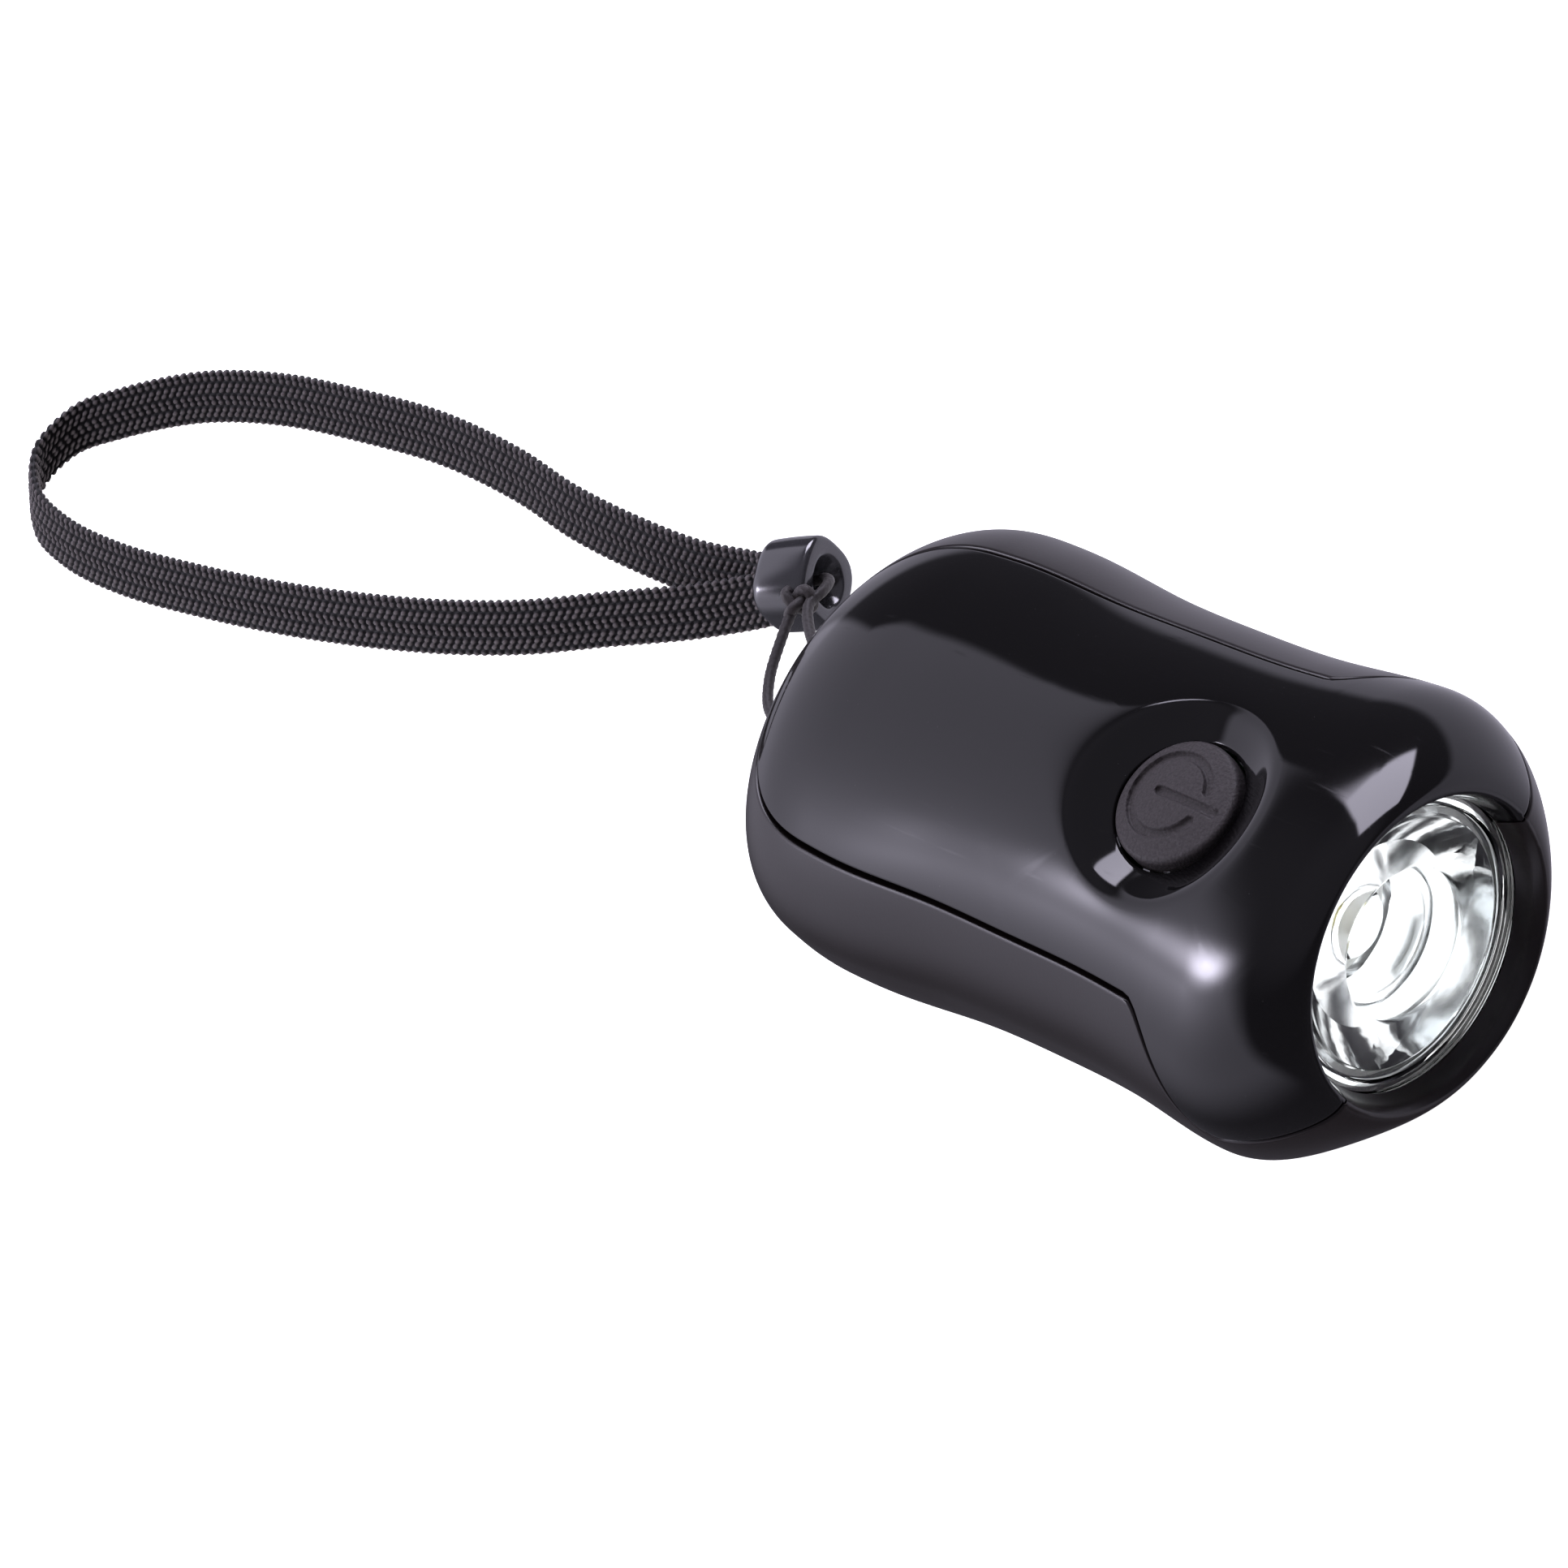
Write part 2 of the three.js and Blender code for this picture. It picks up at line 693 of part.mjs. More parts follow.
caseScrewPlaces.forEach((place, i) => {
  const neck = caseScrewSink + caseScrewHeadThickness;
  const body = join(
    post(place, caseScrewSink, neck, caseScrewHeadRadius, fineSides),
    post(place, neck - seatGap, screwTip, caseScrewRadius, screwSides),
  );
  const slot = block(
    [place[0] - caseScrewHeadRadius, place[0] + caseScrewHeadRadius],
    [place[1] - seatGap, place[1] + seatGap],
    [caseScrewSink - overrun, caseScrewSink + seatGap],
  );
  piece(`case_screw_${i + 1}`, cut(body, slot), steel);
});

// Crank drum: a turned cup with a slot for the arm, a pocket for the knob and a shaft socket

const armBottom = drumLift;
const armTop = armBottom + armThickness;
const slotTop = armTop + armSlotGap;
const slotHalf = armWidth / 2 + armSlotGap;
const knobBottom = armTop + seatGap;
const knobTop = knobBottom + knobHeight;
const hingeX = crankPlace + hingeOffset;
const knobX = hingeX - knobReach;
const knobSweep = Math.hypot(knobReach + knobRadius, knobTop - hingeHeight);
const pocketEnd = hingeX - knobSweep - armSlotGap;
const pocketHalf = knobRadius + armSlotGap;
const pocketTop = drumTop - drumRoof;
const socketBottom = drumTop - shaftSocketDepth;
const drumCore = join(
  block(
    [pocketEnd - drumWall, knobX + pocketHalf + drumWall],
    [-pocketHalf - drumWall, pocketHalf + drumWall],
    [drumLift, drumTop],
  ),
  block(
    [crankPlace - drumRadius, crankPlace + drumRadius],
    [-slotHalf - drumWall, slotHalf + drumWall],
    [drumLift, slotTop + drumRoof],
  ),
  post(crankAxis, drumLift, drumTop, shaftRadius + drumWall),
).intersect(post(crankAxis, drumLift, drumTop, drumRadius, roundSides));
const drumShell = cut(
  post(crankAxis, drumLift, drumTop, drumRadius, roundSides),
  post(crankAxis, drumLift + drumWall, drumTop + overrun, drumRadius - drumWall, roundSides),
);
const hingeAxis = [hingeX, hingeHeight];
const pinHalf = hingePinLength / 2;
const hingeCheek = block(
  [hingeX - armRootRadius - drumWall, hingeX + armRootRadius + drumWall],
  [-pinHalf - drumWall, pinHalf + drumWall],
  [drumLift, slotTop + drumRoof],
);
const drum = cut(
  join(drumShell, drumCore, hingeCheek),
  block(
    [crankPlace - drumRadius - overrun, crankPlace + drumRadius + overrun],
    [-slotHalf, slotHalf],
    [-overrun, slotTop],
  ),
  block([pocketEnd, knobX + pocketHalf], [-pocketHalf, pocketHalf], [0, pocketTop]),
  rodAcross(hingeAxis, -pinHalf - seatGap, pinHalf + seatGap, hingePinRadius + runningGap),
  post(crankAxis, socketBottom, drumTop + overrun, shaftRadius + runningGap),
);
piece('crank_drum', drum, satinBlack);
piece('hinge_pin', rodAcross(hingeAxis, -pinHalf, pinHalf, hingePinRadius, screwSides), steel);

// Folding arm with a rounded root round the pin and a knob that turns on a rivet

const armTip = hingeX - armReach;
const knobBore = rivetRadius + runningGap;
const rivetSeatDepth = rivetHeadThickness + runningGap;
const armPlan = new THREE.Shape();
armPlan.moveTo(hingeX + armRootRadius, -armWidth / 2);
armPlan.lineTo(hingeX + armRootRadius, armWidth / 2);
armPlan.lineTo(armTip + armWidth / 2, armWidth / 2);
armPlan.absarc(armTip + armWidth / 2, 0, armWidth / 2, Math.PI / 2, 3 * Math.PI / 2, false);
const rootSide = join(
  rodAcross(hingeAxis, -armWidth / 2, armWidth / 2, armRootRadius),
  block([hingeX - armReach, hingeX], [-armWidth / 2, armWidth / 2], [armBottom, armTop]),
);
const arm = cut(
  raised(armPlan, armBottom, armTop).intersect(rootSide),
  rodAcross(hingeAxis, -armWidth / 2 - seatGap, armWidth / 2 + seatGap, hingePinRadius + runningGap),
  post([knobX, 0], armBottom - overrun, armTop + overrun, knobBore),
  post([knobX, 0], armBottom - overrun, armBottom + rivetSeatDepth, rivetHeadRadius + runningGap),
);
piece('crank_arm', arm, satinBlack);
piece('crank_knob', turned([
  [knobBore, knobBottom],
  [knobRadius, knobBottom],
  [knobRadius, knobBottom + knobHeight / 4],
  [knobRadius - knobWaist, knobBottom + knobHeight / 2],
  [knobRadius, knobTop - knobHeight / 4],
  [knobRadius - knobWaist, knobTop],
  [rivetHeadRadius + runningGap, knobTop],
  [rivetHeadRadius + runningGap, knobTop - rivetSeatDepth],
  [knobBore, knobTop - rivetSeatDepth],
  [knobBore, knobBottom],
], [knobX, 0]), satinBlack);
piece('knob_rivet', turned([
  [0, armBottom],
  [rivetHeadRadius, armBottom],
  [rivetHeadRadius, armBottom + rivetHeadThickness],
  [rivetRadius, armBottom + rivetHeadThickness],
  [rivetRadius, knobTop - rivetHeadThickness],
  [rivetHeadRadius, knobTop - rivetHeadThickness],
  [rivetHeadRadius, knobTop],
  [0, knobTop],
], [knobX, 0], screwSides), steel);

// Crank shaft with its screw and bearing bush

const shaftTop = driveTop - wheelThickness / 2;
piece('crank_shaft', cut(
  post(crankAxis, socketBottom + seatGap, shaftTop, shaftRadius),
  post(crankAxis, plateBottom, shaftTop + overrun, smallScrewBore, screwSides),
), steel);
piece('crank_bush', cut(
  post(crankAxis, plateBottom, plateTop, bearingRadius),
  post(crankAxis, plateBottom - overrun, plateTop + overrun, shaftRadius + runningGap),
), brass);

// Gears with involute teeth

// The plan of a gear: each tooth rises along two involute flanks from its root.
function gearPlan(teeth, tipShare, rootShare, [x, y], phase, bore) {
  const pitchRadius = pitch(teeth);
  const pressure = Math.PI * pressureShare;
  const baseRadius = pitchRadius * Math.cos(pressure);
  const tipRadius = pitchRadius + toothModule * tipShare;
  const rootRadius = pitchRadius - toothModule * rootShare;
  const involute = (radius) => {
    const roll = Math.sqrt(Math.max((radius / baseRadius) ** 2 - 1, 0));
    return roll - Math.atan(roll);
  };
  const halfAtPitch = Math.PI / 2 / teeth - backlash / 4 / pitchRadius;
  const halfAt = (radius) => halfAtPitch + involute(pitchRadius) - involute(radius);
  const flank = teeth > pinionTeeth ? [rootRadius, tipRadius] : [rootRadius, pitchRadius, tipRadius];
  const plan = new THREE.Shape();
  for (let i = 0; i < teeth; i += 1) {
    const middle = phase + 2 * Math.PI * i / teeth;
    const sides = [
      ...flank.map((radius) => [radius, middle - halfAt(radius)]),
      ...flank.toReversed().map((radius) => [radius, middle + halfAt(radius)]),
    ];
    sides.forEach(([radius, angle], k) => {
      const [px, py] = [x + radius * Math.cos(angle), y + radius * Math.sin(angle)];
      if (i + k === 0) plan.moveTo(px, py);
      else plan.lineTo(px, py);
    });
  }
  plan.holes.push(new THREE.Path().absarc(x, y, bore, 0, 2 * Math.PI, true));
  return plan;
}

// The turn that lets a follower's gap meet a driver's tooth on the line between them.
function meshPhase(driver, driverTeeth, driverPhase, follower, followerTeeth) {
  const line = Math.atan2(follower[1] - driver[1], follower[0] - driver[0]);
  return line + Math.PI + Math.PI / followerTeeth - (driverPhase - line) * driverTeeth / followerTeeth;
}
const axleBore = axleRadius + runningGap;
const firstPhase = meshPhase(crankAxis, driveTeeth, 0, firstAxis, pinionTeeth);
const secondPhase = meshPhase(firstAxis, wheelTeeth, 0, secondAxis, pinionTeeth);
const rotorPhase = meshPhase(secondAxis, wheelTeeth, 0, rotorAxis, pinionTeeth);

const drivePlan = gearPlan(driveTeeth, wheelTipShare, wheelRootShare, crankAxis, 0, smallScrewBore);
piece('drive_gear', cut(
  raised(drivePlan, driveBottom, driveTop, screwSides),
  post(crankAxis, driveBottom - overrun, shaftTop + seatGap, shaftRadius + runningGap),
), nylon);
const crankScrewHead = driveTop + seatGap;
const crankScrewTop = crankScrewHead + smallScrewHeadThickness;
piece('crank_screw', join(
  post(crankAxis, plateTop, crankScrewHead + seatGap, smallScrewRadius, screwSides),
  post(crankAxis, crankScrewHead, crankScrewTop, smallScrewHeadRadius, screwSides),
), steel);

// A compound gear: a pinion driven from below carries a larger wheel.
function compoundGear(axis, pinionPhase, pinionBottom, hubBottom, wheelBottom) {
  const pinion = gearPlan(pinionTeeth, pinionTipShare, pinionRootShare, axis, pinionPhase, axleBore);
  const wheel = gearPlan(wheelTeeth, wheelTipShare, wheelRootShare, axis, 0, axleBore);
  const bodies = [
    raised(wheel, wheelBottom, wheelBottom + wheelThickness, screwSides),
    raised(pinion, pinionBottom, wheelBottom + seatGap, screwSides),
  ];
  if (hubBottom < pinionBottom) {
    bodies.push(cut(
      post(axis, hubBottom, pinionBottom + seatGap, hubRadius, screwSides),
      post(axis, hubBottom - overrun, pinionBottom + overrun, axleBore, screwSides),
    ));
  }
  return join(...bodies);
}
const firstGear = compoundGear(firstAxis, firstPhase, driveBottom, driveBottom, firstWheelBottom);
const secondGear = compoundGear(secondAxis, secondPhase, firstWheelBottom, driveBottom, secondWheelBottom);
piece('compound_gear_1', firstGear, nylon);
piece('compound_gear_2', secondGear, nylon);
piece('gear_axle_1', post(firstAxis, plateBottom, coverTop, axleRadius, screwSides), steel);
piece('gear_axle_2', post(secondAxis, plateBottom, coverTop, axleRadius, screwSides), steel);

// Gearbox plates on the well wall, held down by four screws

// A plate outline that runs round a list of corner places.
function plateOutline(corners) {
  const outline = new THREE.Shape();
  corners.forEach((corner, i) => {
    const before = corners[(i + corners.length - 1) % corners.length];
    const after = corners[(i + 1) % corners.length];
    const start = Math.atan2(corner[1] - before[1], corner[0] - before[0]) - Math.PI / 2;
    const end = Math.atan2(after[1] - corner[1], after[0] - corner[0]) - Math.PI / 2;
    outline.absarc(corner[0], corner[1], plateCorner, start, end, false);
  });
  return outline;
}
const plateBlank = (bottom, top) => raised(plateOutline(gearboxPosts), bottom, top, screwSides);
const gearboxHoles = gearboxPosts.map((place) => (
  post(place, plateBottom - overrun, coverTop + overrun, smallScrewBore, screwSides)
));
const axleHoles = [firstAxis, secondAxis].map((axis) => (
  post(axis, plateBottom - overrun, coverTop + overrun, axleRadius + runningGap, screwSides)
));
piece('gearbox_plate', cut(
  plateBlank(plateBottom, plateTop),
  post(crankAxis, plateBottom - overrun, plateTop + overrun, bearingRadius + runningGap),
  ...gearboxHoles,
  ...axleHoles,
), satinBlack);
piece('gearbox_cover', cut(
  join(
    plateBlank(coverBottom, coverTop),
    ...gearboxPosts.map((place) => post(place, plateTop + seatGap, coverTop, postRadius, screwSides)),
  ),
  post(rotorAxis, coverBottom - overrun, coverTop + overrun, bearingRadius + runningGap),
  ...gearboxHoles,
  ...axleHoles,
), satinBlack);
gearboxPosts.forEach((place, i) => {
  const headBottom = coverTop + seatGap;
  const headTop = headBottom + smallScrewHeadThickness;
  piece(`gearbox_screw_${i + 1}`, join(
    post(place, wall + 2 * seatGap, headBottom + seatGap, smallScrewRadius, screwSides),
    post(place, headBottom, headTop, smallScrewHeadRadius, screwSides),
  ), steel);
});

// Generator: steel can, wound bobbin and a magnet on the rotor shaft

const canBottom = coverTop + seatGap;
const canTop = canBottom + canHeight;
const ring = (axis, bottom, top, outerRadius, innerRadius, sides = fineSides) => cut(
  post(axis, bottom, top, outerRadius, sides),
  post(axis, bottom - overrun, top + overrun, innerRadius, sides),
);
const boreClear = rotorShaftRadius + runningGap;
piece('generator_can', cut(
  ring(rotorAxis, canBottom, canTop, canRadius, boreClear),
  post(rotorAxis, canBottom + canWall, canTop - canWall, canRadius - canWall, fineSides),
  post(rotorAxis, canBottom - overrun, canBottom + canWall + overrun, magnetRadius + 2 * seatGap, fineSides)
    .subtract(post(rotorAxis, canBottom + canWall, canTop, magnetRadius + overrun, fineSides)),
), steel);
const bobbinBottom = canBottom + canWall + seatGap;
const bobbinTop = canTop - canWall - seatGap;
piece('coil_bobbin', cut(
  ring(rotorAxis, bobbinBottom, bobbinTop, canRadius - canWall - seatGap, magnetRadius + 2 * seatGap),
  ring(rotorAxis, bobbinBottom + bobbinFlange, bobbinTop - bobbinFlange, canRadius, windingInner - seatGap),
), whitePlastic);
piece('coil_winding', ring(
  rotorAxis,
  bobbinBottom + bobbinFlange + seatGap,
  bobbinTop - bobbinFlange - seatGap,
  windingOuter,
  windingInner,
), copper);
const magnetBottom = canBottom + canWall + (canHeight - 2 * canWall - magnetHeight) / 2;
const magnetTop = magnetBottom + magnetHeight;
const shaftEnd = canTop + rotorShaftTop;
piece('rotor_magnet', ring(rotorAxis, magnetBottom, magnetTop, magnetRadius, boreClear), magnetGrey);
piece('rotor_shaft', post(rotorAxis, secondWheelBottom, shaftEnd, rotorShaftRadius, screwSides), steel);
piece('rotor_pinion', raised(
  gearPlan(pinionTeeth, pinionTipShare, pinionRootShare, rotorAxis, rotorPhase, boreClear),
  secondWheelBottom,
  secondWheelTop,
  screwSides,
), brass);
piece('rotor_bush', ring(rotorAxis, coverBottom, coverTop, bearingRadius, boreClear), brass);

// Button: soft cap with a retaining flange and a stem that works the switch

const buttonCrown = buttonTop - buttonSink;
const ceiling = skinHeight(buttonPlace, buttonHoleRadius) - bowlDepth(buttonHoleRadius) - wall;
const flangeTop = ceiling - seatGap;
const flangeBottom = flangeTop - buttonFlangeThickness;
const switchBottom = boardTop + seatGap;
const switchTop = switchBottom + switchHeight;
const stemBottom = switchTop + plungerShow + seatGap;
const buttonSides = 20;
piece('power_button', turned([
  [0, stemBottom],
  [buttonStemRadius, stemBottom],
  [buttonStemRadius, flangeBottom],
  [buttonRadius + buttonFlange, flangeBottom],
  [buttonRadius + buttonFlange, flangeTop],
  [buttonRadius, flangeTop],
  [buttonRadius, buttonCrown - buttonDome - buttonEdge],
  [buttonRadius - buttonEdge / 3, buttonCrown - buttonDome - buttonEdge / 3],
  [buttonRadius - buttonEdge, buttonCrown - buttonDome],
  [buttonRadius / 2, buttonCrown - buttonDome / 3],
  [0, buttonCrown],
], [buttonPlace, 0], buttonSides), rubber);

// Switch, circuit board and its screws

const plungerBottom = switchTop - buttonTravel - seatGap;
const switchHalf = switchSize / 2;
piece('switch_body', cut(
  block(
    [buttonPlace - switchHalf, buttonPlace + switchHalf],
    [-switchHalf, switchHalf],
    [switchBottom, switchTop],
  ),
  post(
    [buttonPlace, 0],
    plungerBottom - buttonTravel - seatGap,
    switchTop + overrun,
    plungerRadius + runningGap,
    screwSides,
  ),
), satinBlack);
const plungerTop = switchTop + plungerShow;
piece('switch_plunger', post([buttonPlace, 0], plungerBottom, plungerTop, plungerRadius, screwSides), steel);
piece('circuit_board', cut(
  block([boardStart, boardEnd], [-boardHalfWidth, boardHalfWidth], [boardBottom, boardTop]),
  ...boardScrewPlaces.map((place) => (
    post(place, boardBottom - overrun, boardTop + overrun, smallScrewBore, screwSides)
  )),
), boardGreen);
boardScrewPlaces.forEach((place, i) => {
  const headTop = boardBottom - seatGap;
  piece(`board_screw_${i + 1}`, join(
    post(place, boardBottom - 2 * seatGap, boardTop + boardThickness, smallScrewRadius, screwSides),
    post(place, headTop - smallScrewHeadThickness, headTop, smallScrewHeadRadius, screwSides),
  ), steel);
});

// Battery: button cells in a row across the body, in a cradle between two contact tabs

const cradleBottom = wall + seatGap;
const cellHeight = cradleBottom + cradleWall + cellRadius;
const cellPitch = cellThickness + cellGap;
const stackHalf = (cellCount * cellPitch - cellGap) / 2;
const tabStart = stackHalf + cellGap;
const cradleHalf = tabStart + tabThickness + cellGap + cradleWall;
Array.from({ length: cellCount }, (_, i) => i * cellPitch - stackHalf).forEach((start, i) => {
  const cell = rodAcross([cellPlace, cellHeight], start, start + cellThickness, cellRadius);
  piece(`battery_cell_${i + 1}`, cell, steel);
});
[-1, 1].forEach((side, i) => {
  const span = [side * tabStart, side * (tabStart + tabThickness)].sort((a, b) => a - b);
  piece(`battery_tab_${i + 1}`, rodAcross([cellPlace, cellHeight], ...span, tabRadius, screwSides), brass);
});
piece('battery_cradle', cut(
  block(
    [cellPlace - cradleReach, cellPlace + cradleReach],
    [-cradleHalf, cradleHalf],
    [cradleBottom, cradleBottom + cradleHeight],
  ),
  rodAcross([cellPlace, cellHeight], cradleWall - cradleHalf, cradleHalf - cradleWall, cellRadius + seatGap),
), satinBlack);

// Lamp: emitter on its board, lens holder, lens and gasket

const lampBoardEnd = lampBoardStart + lampBoardThickness;
const emitterStart = lampBoardEnd + seatGap;
const emitterFront = emitterStart + emitterThickness;
const emitterHalf = emitterSize / 2;
const lampAxis = [0, lensHeight];
piece('lamp_board', rodAlong(lampAxis, lampBoardStart, lampBoardEnd, lampBoardRadius), whitePlastic);
piece('lamp_emitter', join(
  block(
    [emitterStart, emitterFront],
    [-emitterHalf, emitterHalf],
    [lensHeight - emitterHalf, lensHeight + emitterHalf],
  ),
  turnedAlong([
    [0, emitterFront - seatGap],
    [emitterDomeRadius, emitterFront - seatGap],
    [emitterDomeRadius, emitterFront],
    [emitterDomeRadius * Math.SQRT1_2, emitterFront + emitterDomeRadius * Math.SQRT1_2],
    [0, emitterFront + emitterDomeRadius],
  ], fineSides),
), ceramic);

const holderStart = lampBoardEnd + seatGap;
const holderEnd = grooveStart - seatGap;
const coneGap = seatGap + runningGap;
piece('lens_holder', turnedAlong([
  [lensBackRadius + coneGap, holderStart],
  [holderFootRadius, holderStart],
  [lensBowlRadius + coneGap, holderEnd - holderFlangeThickness],
  [holderFlange, holderEnd - holderFlangeThickness],
  [holderFlange, holderEnd],
  [lensBowlRadius + coneGap - holderWall / 3, holderEnd],
  [lensBackRadius + coneGap, lensBack],
  [lensBackRadius + coneGap, holderStart],
]), whitePlastic);
piece('lens', turnedAlong([
  [0, lensBack + lensBackWell - lensCrown / 2],
  [lensBackWellRadius / 2, lensBack + lensBackWell - lensCrown / 3],
  [lensBackWellRadius, lensBack + lensBackWell],
  [lensBackWellRadius, lensBack],
  [lensBackRadius, lensBack],
  [lensBackRadius + (lensBowlRadius - lensBackRadius) / 3, lensBack + lensDepth / 4],
  [lensBackRadius + 2 * (lensBowlRadius - lensBackRadius) / 3, lensBack + 5 * lensDepth / 9],
  [lensBowlRadius, flangeBack],
  [lensFlangeRadius, flangeBack],
  [lensFlangeRadius, flangeFront],
  [lensFrontWellRadius, flangeFront],
  [lensFrontWellRadius - lensFrontWell / 4, flangeFront - lensFrontWell],
  [lensFrontWellRadius / 2, flangeFront - lensFrontWell + 3 * lensCrown / 4],
  [0, flangeFront - lensFrontWell + lensCrown],
]), clearPlastic);
const gasketBack = grooveStart + seatGap / 2;
piece('lens_gasket', turnedAlong([
  [lensFlangeRadius - gasketInset, gasketBack],
  [lensFlangeRadius, gasketBack],
  [lensFlangeRadius, gasketBack + gasketThickness],
  [lensFlangeRadius - gasketInset, gasketBack + gasketThickness],
  [lensFlangeRadius - gasketInset, gasketBack],
]), rubber);

// A round tube along a curve, its section cut square at both ends.
function tube(points, radius, steps, sides) {
  const path = new THREE.CatmullRomCurve3(points.map((p) => new THREE.Vector3(...p)));
  const outline = new THREE.Shape(Array.from({ length: sides }, (_, i) => {
    const angle = 2 * Math.PI * i / sides;
    return new THREE.Vector2(radius * Math.cos(angle), radius * Math.sin(angle));
  }));
  return solid(new THREE.ExtrudeGeometry(outline, { steps, extrudePath: path, bevelEnabled: false }));
}

// Two wires from the circuit board down to the lamp board

[[-1, 'wire_red', wireRed], [1, 'wire_black', wireBlack]].forEach(([side, name, colour]) => {
  const start = boardBottom - seatGap;
  const end = lampBoardStart - seatGap;
  piece(`lamp_${name}`, tube([
    [end - 2 * wireDrop, side * wireSpread, start],
    [end - 2 * wireDrop, side * wireSpread, start - wireDrop / 2],
    [end - wireDrop, side * wireSpread, start - wireDrop],
    [end, side * wireSpread, start - wireDrop],
  ], wireRadius, 8, 6), colour);
});

// Strap: a thin cord looped round the lanyard bar, a bead, and a loop of flat webbing

// The thin cord's route: out of the bead, over its shoulder, round the bar and back to the knot.
const cordRoute = [
  [-23.9, 14.7, 5],
  [-22.6, 15.3, 5.3],
  [-21, 15.1, 6],
  [-19.3, 13.2, 7.6],
  [-18.9, 11, 8.6],
  [-16, 8.2, 9.4],
  [-10, 4.9, 10.8],
  [-4, 2.9, 11.8],
  [0.6, 2.45, 12],
  [3.4, 2.3, 12],
  [5, 0, 12],
  [3.4, -2.3, 12],
  [0.6, -2.45, 12],
  [-4, -3, 11.4],
  [-9, -3.4, 10.2],
  [-14, -2.2, 9.4],
  [-17.2, 1.2, 9],
  [-19.4, 6.2, 8.8],
  [-20.6, 9.6, 8.6],
];
// The webbing's route, at the middle of its width: out along the near run and back along the far run.
const webbingRoute = [
  [-29.9, 11.2, 3.6],
  [-34, 9.4, 3],
  [-40.5, 6.3, 2.8],
  [-51, 1.8, 2.8],
  [-62, -3, 2.8],
  [-73.7, -6.9, 2.8],
  [-86.5, -10.2, 2.8],
  [-100, -13, 2.8],
  [-114.5, -15.3, 2.8],
  [-130, -17, 2.8],
  [-142, -16.8, 2.8],
  [-150.5, -14.6, 2.8],
  [-155, -9.6, 2.8],
  [-153.5, -3.4, 2.8],
  [-147.5, 1.2, 2.8],
  [-136, 7.2, 2.8],
  [-122.5, 11, 2.8],
  [-107.8, 13, 2.8],
  [-92.7, 14.2, 2.8],
  [-78, 13.6, 2.8],
  [-66, 12, 2.8],
  [-54, 11.4, 2.8],
  [-43, 11.6, 2.8],
  [-35, 12.6, 3.2],
  [-31, 12.9, 3.9],
];

piece('strap_cord', tube(cordRoute, cordDiameter / 2, 30, 8), webbingBlack);

// A band along a route, its width leaning the same way all along.
function band(route, width, thickness, steps) {
  const path = new THREE.CatmullRomCurve3(route.map((p) => new THREE.Vector3(...p)));
  const across = new THREE.Vector3(0, webbingLeanShare, Math.sqrt(1 - webbingLeanShare ** 2));
  const rings = Array.from({ length: steps + 1 }, (_, i) => {
    const middle = path.getPointAt(i / steps);
    const along = path.getTangentAt(i / steps);
    const through = along.clone().cross(across).normalize();
    return Array.from({ length: webbingSides }, (__, k) => {
      const angle = 2 * Math.PI * (k + 0.5) / webbingSides;
      const wide = Math.sign(Math.cos(angle)) * Math.sqrt(Math.abs(Math.cos(angle)));
      return middle.clone()
        .addScaledVector(across, width / 2 * wide)
        .addScaledVector(through, thickness / 2 * Math.sin(angle));
    });
  });
  return skin(rings);
}
piece('strap_webbing', band(webbingRoute, webbingWidth, webbingThickness, 40), webbingBlack);

// The bead is a block with squared sides and soft edges; its mouth narrows to the cord's hole.
const beadHalf = beadLength / 2;
const bead = new THREE.Group();
bead.position.set(...beadPlace, beadRadius);
bead.rotation.set(0, Math.PI / 2, 2 * Math.PI * beadTurnShare, 'ZYX');
torch.add(bead);
const beadRings = [
  [beadRadius - beadRounding, -beadHalf, beadBendShare],
  [beadRadius - beadRounding / 3, beadRounding / 3 - beadHalf, beadBendShare],
  [beadRadius, beadRounding - beadHalf, beadBendShare],
  [beadRadius, beadHalf - beadLipRounding, beadBendShare],
  [beadRadius - beadLipRounding, beadHalf, beadBendShare],
  [beadMouthRadius, beadHalf, 2],
  [beadThroatRadius, beadHalf - beadMouthDepth, 2],
  [beadThroatRadius, beadHalf - beadThroatDepth, 2],
].map(([reach, place, bend]) => Array.from({ length: beadSides }, (_, i) => {
  const angle = 2 * Math.PI * (i + 0.5) / beadSides;
  const [c, s] = [Math.cos(angle), Math.sin(angle)];
  const across = reach * Math.sign(c) * Math.abs(c) ** (2 / bend);
  const up = reach * Math.sign(s) * Math.abs(s) ** (2 / bend);
  return new THREE.Vector3(across, up, place);
}));
piece('strap_bead', skin(beadRings), satinBlack, bead);

export default part;
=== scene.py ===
"""A hand crank flashlight with a wrist strap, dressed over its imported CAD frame, in metres."""
import json

import bmesh
import bpy
import numpy as np
from mathutils import Matrix, Vector


